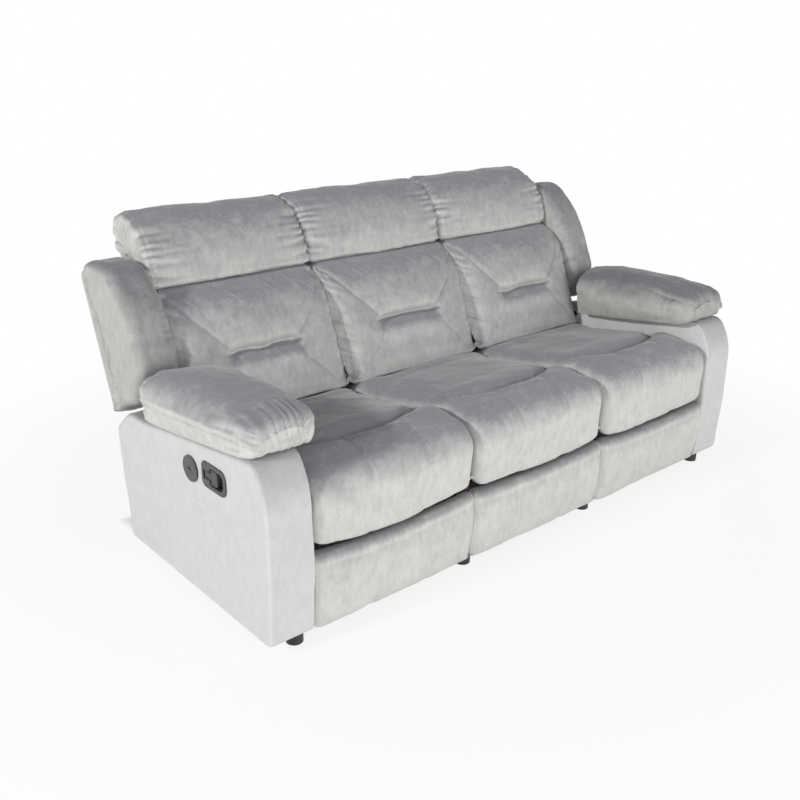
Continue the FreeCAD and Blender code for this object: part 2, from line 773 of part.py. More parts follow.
# Reclining seat, right-hand one; the left one mirrors it.
both_sides("seat_cushion", seat_cushion("right_cushion", seat_mid, seat_half))
deck_low = plate_inner
deck_high = plate_outer + plate_thick
both_sides("seat_frame", join("right_deck", deck("right_deck_rail", deck_low, deck_high,
                                                 deck_top - deck_height)))
both_sides("seat_springs", spring_set("right_springs", seat_mid, seat_half - 16))
both_sides("back_cushion", back_cushion("right_back", seat_mid, seat_half))
both_sides("head_roll", head_roll("right_roll", seat_mid, seat_half))
both_sides("back_cover", back_panel("right_cover", seat_low, seat_high))
frame_in = plate_inner + plate_thick + 1 + plate_thick
frame_out = plate_outer - 1 - plate_thick
both_sides("back_frame", back_frame("right_back_frame", frame_in, frame_out))
both_sides("footrest_pad", front_pad("right_front", seat_mid, seat_half))

# Side plates, welded to a cross tube; pins stand in for riveted pivots.
layers = []
for base, toward in ((plate_inner, 1), (plate_outer + plate_thick, -1)):
    layers.append((base, toward))


def layer_low(side, number):
    # Lower X of a plate in a layer; layer 0 is the side plate itself.
    base, toward = side
    near = base + toward * (number * layer_pitch)
    return near if toward > 0 else near - plate_thick


def pin(name, side, first, last, spot, radius="sizes.pin_radius"):
    # A pin from the outer face of one layer to the far face of another.
    base, toward = side
    start = base + toward * (first * layer_pitch)
    length = (last - first) * layer_pitch + plate_thick
    x = start if toward > 0 else start - length
    return prism(name, (x, spot[0], spot[1]), radius, length, 12)


def bore(name, side, number, spot, clearance):
    base, toward = side
    x = layer_low(side, number) - 1
    return rod(name, (x, spot[0], spot[1]), pin_radius + clearance, plate_thick + 2, (1, 0, 0))


def turn(vector, degrees):
    # Forward is -Y: angles run from forward up.
    angle = math.radians(degrees)
    return (-vector * math.cos(angle), vector * math.sin(angle))


def shift(spot, step):
    return (spot[0] + step[0], spot[1] + step[1])


lift_pin = lift_pivot
elbow = shift(lift_pin, turn(lift_length, -90))
top_pin = shift(elbow, turn(reach_length, reach_angle))
arm_pin = shift(shift(elbow, turn(2.37, reach_angle + 180)), turn(26.9, reach_angle - 90))
guide_pin = shift(elbow, (28.0, -2.65))
brace_pin = shift(top_pin, (29.24, -3.8))
back_pin = (back_pivot_y, back_pivot_z)
lever_pin = (300, 170)
plate_points = corners([
    (52, 190), (54, 172), (72, 168), (128, 200), (190, 66.2), (640, 66.2), (700, 240),
    (722, 290), (718, 316), (690, 318), (640, 262), (66, 262), (52, 240)])
plate_set = []
lift_set = []
reach_set = []
control_set = []
brace_set = []
bracket_set = []
board_brackets = []
for number, side in enumerate(layers):
    tag = "inner" if number == 0 else "outer"
    plate = slab("plate_" + tag, "YZ_Plane", layer_low(side, 0), plate_points, "sizes.plate_thick")
    pins = [pin("lift_pin_" + tag, side, 0, 3, lift_pin), pin("control_pin_" + tag, side, 0, 1, control_pivot)]
    pins.append(pin("back_pin_" + tag, side, 0, 1, back_pin, "sizes.back_pin_radius"))
    plate_set.append([plate] + pins)
    lift = slab("lift_" + tag, "YZ_Plane", layer_low(side, 3),
                hull_path([elbow, guide_pin, lift_pin], link_half), "sizes.plate_thick")
    lift_pins = [pin("guide_rivet_" + tag, side, 3, 4, guide_pin)]
    lift_holes = [bore("lift_bore_" + tag, side, 3, lift_pin, pin_clearance)]
    lift_holes.append(bore("elbow_bore_" + tag, side, 3, elbow, pin_clearance))
    lift_set.append(carve("lift_link_" + tag, join("lift_joined_" + tag, [lift] + lift_pins), lift_holes))
    reach = slab("reach_" + tag, "YZ_Plane", layer_low(side, 2),
                 hull_path([arm_pin, elbow, top_pin], link_half), "sizes.plate_thick")
    reach_pins = [pin("elbow_rivet_" + tag, side, 2, 3, elbow)]
    reach_pins.append(pin("top_rivet_" + tag, side, 2, 5, top_pin))
    reach_holes = [bore("arm_bore_" + tag, side, 2, arm_pin, open_clearance)]
    reach_set.append(carve("reach_link_" + tag, join("reach_joined_" + tag, [reach] + reach_pins),
                           reach_holes))
    control = slab("control_" + tag, "YZ_Plane", layer_low(side, 1),
                   hull_path([control_tip, control_pivot], link_half), "sizes.plate_thick")
    control_pins = [pin("arm_rivet_" + tag, side, 1, 2, control_tip)]
    control_holes = [bore("control_bore_" + tag, side, 1, control_pivot, pin_clearance)]
    control_set.append(carve("control_link_" + tag,
                             join("control_joined_" + tag, [control] + control_pins), control_holes))
    brace = slab("brace_" + tag, "YZ_Plane", layer_low(side, 4),
                 hull_path([guide_pin, brace_pin], link_half - 2), "sizes.plate_thick")
    brace_holes = [bore("guide_bore_" + tag, side, 4, guide_pin, pin_clearance)]
    brace_pins = [pin("brace_rivet_" + tag, side, 4, 5, brace_pin)]
    brace_set.append(carve("brace_link_" + tag, join("brace_joined_" + tag, [brace] + brace_pins),
                           brace_holes))
    ear_path = corners([
        (board_front + board_thick, 236), (board_front + board_thick, 120), (60, 120),
        (brace_pin[0] + 6, brace_pin[1] - 12), (brace_pin[0] + 12, brace_pin[1]),
        (brace_pin[0] + 8, 236)])
    ear = slab("ear_" + tag, "YZ_Plane", layer_low(side, 5), ear_path, "sizes.plate_thick")
    ear_holes = [bore("top_bore_" + tag, side, 5, top_pin, pin_clearance)]
    ear_holes.append(bore("brace_bore_" + tag, side, 5, brace_pin, pin_clearance + 0.2))
    flange_x = layer_low(side, 5) if side[1] > 0 else layer_low(side, 5) - 26
    flange = block("ear_flange_" + tag, flange_x, board_front + board_thick, 120, 30, 4, 116)
    board_brackets.append(carve("board_bracket_" + tag, join("ear_joined_" + tag, [ear, flange]),
                                ear_holes))
    bracket_path = corners([(684, 300), (700, 284), (716, 292), (800, 420), (800, 470),
                            (rear_y(470) - back_board - 4, 470), (rear_y(400) - back_board - 4, 400)])
    bracket = slab("back_bracket_" + tag, "YZ_Plane", layer_low(side, 1), bracket_path,
                   "sizes.plate_thick")
    bracket_hole = rod("bracket_bore_" + tag, (layer_low(side, 1) - 1, back_pin[0], back_pin[1]),
                       back_pin_radius + pin_clearance, plate_thick + 2, (1, 0, 0))
    bracket_set.append(carve("bracket_" + tag, bracket, [bracket_hole]))
lever_stud = prism("lever_stud", (plate_outer, lever_pin[0], lever_pin[1]), "sizes.pin_radius", 9,
                   12)
tie = block("plate_tie", plate_inner, 430, 160, plate_outer + plate_thick - plate_inner, 24, 24)
both_sides("side_plates", join("side_plates_right",
                               plate_set[0] + plate_set[1] + [tie, lever_stud]))
both_sides("lift_links", group("lift_links_right", lift_set))
both_sides("reach_links", group("reach_links_right", reach_set))
both_sides("control_links", group("control_links_right", control_set))
both_sides("brace_links", group("brace_links_right", brace_set))
both_sides("back_brackets", group("back_brackets_right", bracket_set))

# Footrest board with its two steel ears.
wood_path = corners([(board_front, footrest_bottom + 8), (board_front + board_thick, footrest_bottom + 8),
                     (board_front + board_thick, footrest_top - 8), (board_front, footrest_top - 8)])
board = slab("footrest_board_wood", "YZ_Plane", seat_low + 14, wood_path, 2 * seat_half - 28)
both_sides("footrest_board", board)
both_sides("footrest_ears", group("footrest_ears_right", board_brackets))

# Trip lever, pulled by the cable, beside the outer side plate.
lever_path = hull_path([shift(lever_pin, (-50, -36)), lever_pin], 9)
lever = slab("trip_lever_plate", "YZ_Plane", plate_outer + plate_thick + 1, lever_path,
             "sizes.plate_thick")
lever_bore = rod("trip_lever_bore", (plate_outer, lever_pin[0], lever_pin[1]),
                 pin_radius + pin_clearance, 14, (1, 0, 0))
both_sides("trip_lever", carve("trip_lever_right", lever, [lever_bore]))


# Wing beside the reclining back: a flat outer panel with a padded front.
def wing_path(inset):
    lower = (846, 424 + inset)
    path = [(lower[0], lower[1], None)]
    path.append((rear_top_y - 0.3 * inset, rear_top_z - 4, None))
    path.append((928, 934 - inset, (982, 912 - 0.7 * inset)))
    path.append((800 + inset, 900 - inset, (858 + 0.5 * inset, 936 - inset)))
    path.append((668 + inset, 690, (716 + inset, 802)))
    path.append((664 + inset, 556 + inset, (646 + inset, 622)))
    path.append((736, 497 + inset, (690, 514 + inset)))
    path.append((795, 466 + inset, None))
    return path


wing_low = seat_high
wing_stations = []
wing_width = arm_width - 5
for x, inset in ((0, 22), (14, 8), (44, 0), (wing_width - 48, 0), (wing_width - 14, 8), (wing_width, 20)):
    wing_stations.append((wing_low + x, wing_path(inset)))
both_sides("wing", skin("wing_right", "YZ_Plane", wing_stations))

# Bolts: the same head and shank wherever a board meets a steel part.
bolts = []
for number, (x, y, z, way) in enumerate((
        (arm_inner + arm_wall + 44, 191, frame_bottom + 34, -1),
        (arm_inner + arm_wall + 44, 719, frame_bottom + 34, -1))):
    for side in (-1, 1):
        head = prism("bolt_head_%d_%d" % (number, side), (side * x, y, z), 8, 5, 6, (0, 0, 1))
        bolts.append(head)
finish("frame_bolts", group("frame_bolts", bolts))

doc.recompute()
os.makedirs("parts", exist_ok=True)
for target in doc.Objects:
    if "Invalid" in target.State or "Error" in target.State:
        raise RuntimeError("not valid: " + target.Name)
for node in sorted(pieces):
    shape = pieces[node].Shape
    if not shape.isValid() or not shape.Solids:
        raise RuntimeError("bad shape: " + node)
    shape.exportStep("parts/" + node + ".step")
    print(node, len(shape.Solids), round(shape.Volume / 1000.0))
print("nodes", len(pieces))
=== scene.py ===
import bpy
import json
import math
import numpy as np
from mathutils import Matrix, Vector

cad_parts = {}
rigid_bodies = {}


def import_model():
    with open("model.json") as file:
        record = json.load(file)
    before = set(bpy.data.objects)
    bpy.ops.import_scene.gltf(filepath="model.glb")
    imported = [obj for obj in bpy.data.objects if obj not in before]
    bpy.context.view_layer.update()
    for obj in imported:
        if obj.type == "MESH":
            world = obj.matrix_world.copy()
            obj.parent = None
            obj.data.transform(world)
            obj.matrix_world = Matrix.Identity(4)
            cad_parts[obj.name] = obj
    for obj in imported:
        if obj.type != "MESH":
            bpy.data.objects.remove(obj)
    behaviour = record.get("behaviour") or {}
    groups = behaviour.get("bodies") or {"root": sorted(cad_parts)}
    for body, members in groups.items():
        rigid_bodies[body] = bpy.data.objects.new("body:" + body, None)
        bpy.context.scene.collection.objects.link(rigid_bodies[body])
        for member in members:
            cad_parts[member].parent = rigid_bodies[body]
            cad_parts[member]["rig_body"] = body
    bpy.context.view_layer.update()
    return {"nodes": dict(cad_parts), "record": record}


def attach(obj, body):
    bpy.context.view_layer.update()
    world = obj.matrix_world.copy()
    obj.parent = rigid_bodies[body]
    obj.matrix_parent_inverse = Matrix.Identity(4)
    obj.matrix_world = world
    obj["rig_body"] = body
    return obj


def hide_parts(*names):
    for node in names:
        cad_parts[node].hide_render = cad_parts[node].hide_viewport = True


# A reclining sofa in silver-grey velvet. Outlines are in millimetres, y counted
# back from the arms' front, z up, and are moved forward by HALF_DEPTH to sit in
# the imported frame, which is in metres.
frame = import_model()
nodes = frame["nodes"]

HALF_DEPTH = 515.0
ARM_IN = 874.0
ARM_OUT = 1015.0
PITCH = 584.25
END_HALF = 288.25
MIDDLE_HALF = 294.0
ACROSS = {"left": (-PITCH, END_HALF), "middle": (0.0, MIDDLE_HALF), "right": (PITCH, END_HALF)}
SIDES = (("left", -1), ("right", 1))

# Half the wing's width, the middles of handle and socket in side view, and the
# sloping rear: its place at the foot of the back covers, its lean and its ends.
WING_HALF = 68
HANDLE = (236.0, 437.0)
SOCKET = (359.0, 424.0)
REAR_FOOT = 800
REAR_LEAN = 200 / 562
COVER_LOW = 291
COVER_HIGH = 854

# Seams that several functions share: the side bands of seats and fronts, the
# backs' pinched crease, and the seat's U-shaped seam.
BAND = 102
CREASE = 614
CREASE_LINE = ((-112, CREASE), (112, CREASE))
U_FRONT = 138
U_DEPTH = 105
U_HALF = 265
U_POWER = 2.4

# Spacing of a cushion's rings, the sizes of a cap's rings as shares of its edge,
# and how many rings inside the edge a cap's outward direction is taken from.
STEP = 5.0
CAP = tuple(0.98 - 0.0335 * k for k in range(28))
CAP_AXIS = 8

# The cloth passes: they use every third point, and this many frames, pressures
# and settings. What a point gains is cut at MOST_PUFF.
EVERY = 3
CLOTH_FRAMES = 20
MOST_PUFF = 12.0
CLOTH = {
    "quality": 5, "mass": 0.3, "tension_stiffness": 12, "compression_stiffness": 12,
    "shear_stiffness": 6, "bending_stiffness": 0.4, "use_pressure": True,
    "vertex_group_mass": "held", "pin_stiffness": 1}
PRESSURE = {"front": 1.5, "wing": 3.0}
USUAL_PRESSURE = 4.0

# How wings and pillows lie in the photograph: their height as a share of the solids',
# how much narrower they are, and how much painted shade darkens their colour.
WING_TALL = {"left": 0.79, "right": 1.0}
WING_FOLDED_FROM = 700
PAD_TALL = {"left": 0.88, "right": 0.98}
PAD_NARROW = {"left": 30.0, "right": 14.0}
PAINTED_SHADE = {"left_wing": 0.78, "right_wing": 0.78, "right_arm_pad": 0.7}


# Curves and noise.
def arc(a, m, b, count=14):
    """Points after a, up to b, on the circle through a, m and b."""
    ax, ay, bx, by = a[0] - m[0], a[1] - m[1], b[0] - m[0], b[1] - m[1]
    cross = 2.0 * (ax * by - ay * bx)
    if abs(cross) < 1e-6:
        return [b]
    la, lb = ax * ax + ay * ay, bx * bx + by * by
    cx, cy = m[0] + (by * la - ay * lb) / cross, m[1] + (ax * lb - bx * la) / cross
    radius = math.hypot(a[0] - cx, a[1] - cy)
    begin = math.atan2(a[1] - cy, a[0] - cx)
    half = (math.atan2(m[1] - cy, m[0] - cx) - begin + math.pi) % (2 * math.pi) - math.pi
    rest = (math.atan2(b[1] - cy, b[0] - cx) - begin + math.pi) % (2 * math.pi) - math.pi
    if half * rest < 0:
        rest += math.copysign(2 * math.pi, half)
    turns = [begin + rest * (k + 1) / count for k in range(count)]
    return [(cx + radius * math.cos(t), cy + radius * math.sin(t)) for t in turns]


def outline(path, count, soft):
    """A closed path of (a, b, arc middle or None) as evenly spaced points, its corners softened."""
    points = [path[0][:2]]
    for number in range(1, len(path) + 1):
        a, b, middle = path[number % len(path)]
        if middle is None:
            points.append((a, b))
        else:
            points += arc(points[-1], middle, (a, b))
    p = np.array(points, float)
    far = np.hypot(*(p[1:] - p[:-1]).T)
    keep = np.concatenate([[True], far > 1e-6])
    p = p[keep]
    run = np.concatenate([[0], np.cumsum(np.hypot(*(p[1:] - p[:-1]).T))])
    at = np.linspace(0, run[-1], count, endpoint=False)
    p = np.column_stack([np.interp(at, run, p[:, 0]), np.interp(at, run, p[:, 1])])
    wave_number = np.fft.fftfreq(count, 1.0 / count)
    keep = np.exp(-2.0 * (math.pi * soft * wave_number / run[-1]) ** 2)
    for k in (0, 1):
        p[:, k] = np.fft.ifft(np.fft.fft(p[:, k]) * keep).real
    ahead = np.roll(p, -1, 0)
    if np.sum(p[:, 0] * ahead[:, 1] - ahead[:, 0] * p[:, 1]) > 0:
        p = p[::-1]
    return p


def inward(p, amount):
    """The same closed clockwise outline, moved in by amount, a number or one per point."""
    t = np.roll(p, -1, 0) - np.roll(p, 1, 0)
    t /= np.maximum(np.hypot(t[:, 0], t[:, 1]), 1e-9)[:, None]
    return p + np.column_stack([t[:, 1], -t[:, 0]]) * np.asarray(amount).reshape(-1, 1)


def ease(low, high, t):
    """0 at low and 1 at high, smoothly between; low may be the larger one."""
    t = np.clip((t - low) / (high - low), 0, 1)
    return t * t * (3 - 2 * t)


def bell(t, width):
    """1 at 0, falling to both sides."""
    return np.exp(-(t / width) ** 2)


def wave(t, seed):
    """A smooth random line, about -1 to 1, one swing per unit of t."""
    g = np.random.default_rng(seed).uniform(-1, 1, 1024)
    i = np.floor(t).astype(int)
    f = t - i
    f = f * f * (3 - 2 * f)
    return g[i % 1024] * (1 - f) + g[(i + 1) % 1024] * f


def fold(t, seed):
    """Gathered cloth along t: round ridges with sharp valleys, 0 at the valley to about 1."""
    return np.minimum(1, 1.5 * np.abs(wave(t, seed) + 0.35 * wave(2.3 * t, seed + 1)) ** 0.75)


def lumps(p, cell, seed):
    """Smooth random swells in space, about -1 to 1, of that cell size in mm."""
    g = np.random.default_rng(seed).uniform(-1, 1, (16, 16, 16))
    q = p / cell
    i = np.floor(q).astype(int)
    f = q - i
    f = f * f * (3 - 2 * f)
    out = np.zeros(p.shape[:-1])
    for a in (0, 1):
        for b in (0, 1):
            for c in (0, 1):
                w = np.abs(1 - a - f[..., 0]) * np.abs(1 - b - f[..., 1]) * np.abs(1 - c - f[..., 2])
                out += w * g[(i[..., 0] + a) % 16, (i[..., 1] + b) % 16, (i[..., 2] + c) % 16]
    return 1.6 * out


def near(a, b, line):
    """Distance of points (a, b) from a line of such points, and how far along it they are."""
    best = np.full(np.shape(a), 1e9)
    along = np.zeros(np.shape(a))
    start = 0.0
    for (a0, b0), (a1, b1) in zip(line[:-1], line[1:]):
        da, db = a1 - a0, b1 - b0
        long = math.hypot(da, db)
        t = np.clip(((a - a0) * da + (b - b0) * db) / (long * long), 0, 1)
        d = np.hypot(a - a0 - t * da, b - b0 - t * db)
        along = np.where(d < best, start + t * long, along)
        best = np.minimum(best, d)
        start += long
    return best, along


# Padded shapes are rings of points from one end cap to the other.
def stations(half, rounding, step):
    """Offsets across a cushion, and how far its outline is drawn in at each."""
    flat = half - rounding
    middle = np.linspace(-flat, flat, max(4, int(2 * flat / step)))
    turn = np.linspace(0, 0.5 * math.pi, 8)[1:]
    out = flat + rounding * np.sin(turn)
    drawn = 1 - np.cos(turn)
    x = np.concatenate([-out[::-1], middle, out])
    return x, np.concatenate([drawn[::-1], np.zeros(len(middle)), drawn])


def rings(places, sections):
    """Rings (t, a, b) with their end caps."""
    rows = list(stacked(zip(places, sections)))
    for end in (0, -1):
        edge = rows[end]
        centre = edge.mean(0)
        cap = [centre + (edge - centre) * k for k in CAP]
        rows = cap[::-1] + rows if end == 0 else rows + cap
    return np.array(rows)


def stacked(rows):
    """Rows of (x, outline) as rings of points."""
    return np.array([np.column_stack([np.full(len(p), x), p]) for x, p in rows])


def normals(p):
    """Outward directions; the end caps' are constant, so that detail can't fold them over."""
    du = np.gradient(p, axis=0)
    dv = np.roll(p, -1, 1) - np.roll(p, 1, 1)
    n = np.cross(du, dv)
    n /= np.maximum(np.linalg.norm(n, axis=2), 1e-9)[..., None]
    caps = len(CAP)
    sign = np.sign(np.median((n * (p - p.mean((0, 1)))).sum(2)[caps:-caps]))
    n *= sign or 1
    inner = caps + CAP_AXIS
    for rows, end, inside in ((slice(0, caps), 0, inner), (slice(-caps, None), -1, -inner - 1)):
        out = p[end].mean(0) - p[inside].mean(0)
        n[rows] = out / max(np.linalg.norm(out), 1e-9)
    return n


def fading(p):
    """1 over the body of a shape, falling to 0 at the middle of its end caps."""
    rows = np.ones(p.shape[0])
    rows[:len(CAP)] = np.array(CAP[::-1]) ** 1.5
    rows[-len(CAP):] = np.array(CAP) ** 1.5
    return rows[:, None]


def mesh_of(name, p):
    """A closed mesh object from rings in millimetres, still without a parent."""
    count, around = p.shape[:2]
    flat = p.reshape(-1, 3).copy()
    flat[:, 1] -= HALF_DEPTH
    ids = np.arange(count * around).reshape(count, around)
    a, b = ids[:-1], ids[1:]
    quads = np.stack([a, b, np.roll(b, -1, 1), np.roll(a, -1, 1)], 2).reshape(-1, 4)
    first, last = ids[0], ids[-1][::-1]
    corner = [flat[quads[:, k]] - flat.mean(0) for k in range(4)]
    volume = (corner[0] * np.cross(corner[1], corner[2])).sum()
    volume += (corner[0] * np.cross(corner[2], corner[3])).sum()
    if volume < 0:
        quads, first, last = quads[:, ::-1], first[::-1], last[::-1]
    mesh = bpy.data.meshes.new(name)
    mesh.vertices.add(len(flat))
    mesh.vertices.foreach_set("co", (flat / 1000.0).ravel())
    loops = np.concatenate([quads.ravel(), first, last])
    sizes = np.concatenate([np.full(len(quads), 4), [around, around]])
    starts = np.concatenate([[0], np.cumsum(sizes)[:-1]])
    mesh.loops.add(len(loops))
    mesh.loops.foreach_set("vertex_index", loops.astype(np.int32))
    mesh.polygons.add(len(sizes))
    mesh.polygons.foreach_set("loop_start", starts.astype(np.int32))
    mesh.update(calc_edges=True)
    mesh.validate()
    mesh.shade_smooth()
    made = bpy.data.objects.new(name, mesh)
    bpy.context.scene.collection.objects.link(made)
    return made


# Cloth passes: a coarse copy of each shape is inflated between its pinned
# seams, and what it gained is carried over to the fine rings.
cloths = {}


def add_cloth(name, p, pins):
    """A coarse mesh of the shape, ready to be puffed; pins says how firmly each point is held."""
    caps = len(CAP)
    rows = list(range(0, caps)) + list(range(caps, p.shape[0] - caps, EVERY))
    rows += list(range(p.shape[0] - caps, p.shape[0]))
    columns = list(range(0, p.shape[1], EVERY))
    rough = p[np.ix_(rows, columns)]
    body = mesh_of("cloth_" + name, rough)
    group = body.vertex_groups.new(name="held")
    for index, weight in enumerate(pins[np.ix_(rows, columns)].ravel()):
        group.add([index], float(weight), "REPLACE")
    cloth = body.modifiers.new("puff", "CLOTH").settings
    for key, value in CLOTH.items():
        setattr(cloth, key, value)
    cloth.uniform_pressure_force = PRESSURE.get(name, USUAL_PRESSURE)
    cloth.effector_weights.gravity = 0
    cloths[name] = (body, rows, columns, rough, p.shape)


def run_cloths():
    """The puff of each shape, on its fine rings, in millimetres."""
    gained = {}
    scene = bpy.context.scene
    for number in range(1, CLOTH_FRAMES + 1):
        scene.frame_set(number)
    for name, (body, rows, columns, rough, shape) in cloths.items():
        moved = np.zeros(rough.shape)
        graph = bpy.context.evaluated_depsgraph_get()
        puffed = body.evaluated_get(graph)
        co = np.zeros(len(puffed.data.vertices) * 3)
        puffed.data.vertices.foreach_get("co", co)
        co = co.reshape(rough.shape) * 1000.0
        co[..., 1] += HALF_DEPTH
        moved = co - rough
        moved[~np.isfinite(moved)] = 0
        far = np.maximum(np.linalg.norm(moved, axis=2), 1e-6)
        moved *= (np.minimum(far, MOST_PUFF) / far)[..., None]
        fine = np.zeros((shape[0], len(columns), 3))
        for c in range(len(columns)):
            for k in range(3):
                fine[:, c, k] = np.interp(np.arange(shape[0]), rows, moved[:, c, k])
        wide = np.zeros(shape)
        ring = np.concatenate([columns, [shape[1]]])
        for k in range(3):
            closed = np.concatenate([fine[..., k], fine[:, :1, k]], 1)
            for r in range(shape[0]):
                wide[r, :, k] = np.interp(np.arange(shape[1]), ring, closed[r])
        for _ in range(6):
            wide = 0.25 * np.roll(wide, 1, 1) + 0.5 * wide + 0.25 * np.roll(wide, -1, 1)
            up = np.concatenate([wide[:1], wide[:-1]])
            down = np.concatenate([wide[1:], wide[-1:]])
            wide = 0.25 * up + 0.5 * wide + 0.25 * down
        gained[name] = wide
        bpy.data.objects.remove(body)
    scene.frame_set(1)
    return gained


def rear_y(z):
    """The sofa's sloping rear, at the height z."""
    return REAR_FOOT + REAR_LEAN * (z - COVER_LOW)


def seat_seam(x):
    return U_FRONT + U_DEPTH * (np.minimum(np.abs(x), 285) / U_HALF) ** U_POWER


def pad_low(y):
    """The arm's sloping top, on which the pillow lies."""
    return 548 - 0.1331 * (y - 54)


# Outlines of the padded pieces, close to those of the CAD source. Each is a list
# of (y, z, the middle of an arc that leads there or None).
def seat_path(x, half):
    crown = 15 * (1 - (x / half) ** 2)
    lip = 256 + 20 * (x / half) ** 2
    return [
        (648, 297, None), (648, 398 + 0.2 * crown, None), (578, 417 + 0.4 * crown, None),
        (262, 459 + crown, None), (72, 480 + crown, (165, 484 + crown)),
        (-13, 385, (4, 452 + crown)), (-8, lip + 22, None), (34, lip + 10, (9, lip)), (62, 297, None)]


def front_path(x, half):
    top = 246 + 14 * (x / half) ** 2
    return [
        (30, 36, None), (30, top, None), (9, top, None), (-12, top - 30, (-7, top - 6)),
        (-7, 90, (-15, 150)), (3, 36, None)]


def back_path(x, half):
    swell = -14 * (1 - (x / half) ** 2)
    frame_depth = 109
    return [
        (rear_y(430) - frame_depth, 430, None), (584 + swell, 429, None),
        (672 + swell, 655, (624 + swell, 545)),
        (790 + 0.6 * swell, 796, (712 + swell, 733)), (rear_y(796) - frame_depth, 796, None)]


def roll_path(x, half):
    swell = 8 * (1 - (x / half) ** 2)
    return [
        (802 - swell, 796, None), (858 - swell, 942 + swell, (818 - swell, 880)),
        (951, 1000 + swell, (899, 981 + swell)), (1042 + swell, 926, (1022 + swell, 985 + swell)),
        (1004, 854, (1033 + swell, 880)), (894, 854, None), (868, 796, None)]


WING = [
    (846, 424, None), (1000, 849, None), (928, 934, (982, 912)), (800, 900, (858, 936)),
    (668, 690, (716, 802)), (664, 556, (646, 622)), (736, 497, (690, 514)), (795, 466, None)]

ARM = [
    (2, 34, None), (-7, 190, None), (-5, 390, None), (54, 548, (8, 480)), (640, 470, None),
    (731, 468, None), (825, 395, None), (811, 300, None), (792, 34, None)]


def lofted(path_at, half, rounding, soft, around, weight=None):
    """Rings of an outline that changes across the piece, rounded over at both sides."""
    places, drawn = stations(half, rounding, STEP)
    sections = []
    for x, pull in zip(places, drawn):
        p = outline(path_at(x, half), around, soft)
        w = 1.0 if weight is None else weight(p)
        sections.append(inward(p, rounding * pull * w))
    return rings(places, sections)


# The arm pillow, row by row from its front tip back: y, how far it reaches past
# the arm inside and outside, how far it is lifted off the arm, and its height.
PAD = np.array([
    (44, 52, -19, 30, 44), (50, 74, -3, 16, 78), (64, 88, 10, 5, 106), (100, 98, 17, 0, 124),
    (200, 103, 19, 0, 146), (330, 103, 19, 0, 160), (460, 101, 19, 0, 170), (545, 90, 17, 0, 172),
    (590, -6, 15, 0, 168), (616, -16, 12, 3, 156), (632, -30, 1, 12, 126)], float)


def pad_rings():
    """The arm pillow's rings, lofted along y."""
    turn = np.linspace(0, 0.5 * math.pi, 9)
    places = np.concatenate([
        44 + 56 * (1 - np.cos(turn)), np.arange(105, 596, STEP), 632 - 36 * (1 - np.sin(turn))])
    sections = []
    for y in places:
        inner, outer, lift, tall = [np.interp(y, PAD[:, 0], PAD[:, k]) for k in range(1, 5)]
        low = pad_low(y) + lift
        a, b = ARM_IN - inner, ARM_OUT + outer - 8
        side, top = low + 0.5 * tall, low + tall
        path = [
            (a + 16, low, (a + 3, 0.5 * (low + side))), (b - 8, low, None),
            (b, side, (b + 2, 0.5 * (low + side))), (b - 42, top - 7, (b - 10, top - 18)),
            (a + 42, top - 7, (0.5 * (a + b), top)), (a, side, (a + 10, top - 18))]
        sections.append(outline(path, 150, 7))
    return rings(places, sections)[..., [1, 0, 2]]


def wing_weight(p):
    """How much the wing's edge is rounded: fully in front, little at the rear."""
    front = ease(0, 150, rear_y(p[:, 1]) - p[:, 0])
    return 0.3 + 0.7 * front


shapes = {
    "seat": lofted(seat_path, END_HALF, 30, 9, 350),
    "front": lofted(front_path, END_HALF, 16, 4, 110),
    "back": lofted(back_path, END_HALF, 22, 8, 220),
    "roll": lofted(roll_path, END_HALF, 22, 8, 150),
    "wing": lofted(lambda x, half: WING, WING_HALF, 40, 8, 250, wing_weight),
    "pad": pad_rings(),
}


def held(name):
    """How firmly each point is held while the cloth puffs: 1 at seams and hidden faces."""
    p = shapes[name]
    x, y, z = p[..., 0], p[..., 1], p[..., 2]
    bands = bell(np.abs(x) - BAND, 9)
    if name == "seat":
        line = seat_seam(x)
        firm = [(z < 330) * (y > 30), y > 600, bell(y - line, 14) * (z > 400), bands * (y < line)]
    elif name == "front":
        firm = [y > 22, bands]
    elif name == "back":
        firm = [y > 800, bell(near(x, z, CREASE_LINE)[0], 16)]
    elif name == "roll":
        firm = [z < 803]
    elif name == "wing":
        firm = [ease(60, 20, rear_y(z) - y)]
    else:
        firm = [z < pad_low(y) + 6]
    pins = np.zeros(x.shape)
    pins[:len(CAP)] = 1
    pins[-len(CAP):] = 1
    for row in firm:
        pins = np.maximum(pins, row)
    return pins


for key in shapes:
    add_cloth(key, shapes[key], held(key))
gains = run_cloths()


# Sewn detail on the fine rings: each function moves its shape's points along
# their normals by "out", in millimetres, from seams, gathers, creases and swells.
def seam(d, deep, width, wide, spread):
    """A narrow groove within a broad dip, at the distance d."""
    return -deep * bell(d, width) - wide * bell(d, spread)


def gather(t, seed, middle=0.6):
    """Ridges and valleys along t, about as much out as in."""
    return fold(t, seed) - middle


def crease(p, cell, seed, width):
    """Fine lines that wander over the cloth: 1 on a line and 0 elsewhere."""
    return bell(lumps(p, cell, seed), width)


def moved_out(p, n, out):
    """The points, moved along the directions n by out."""
    return p + n * out[..., None]


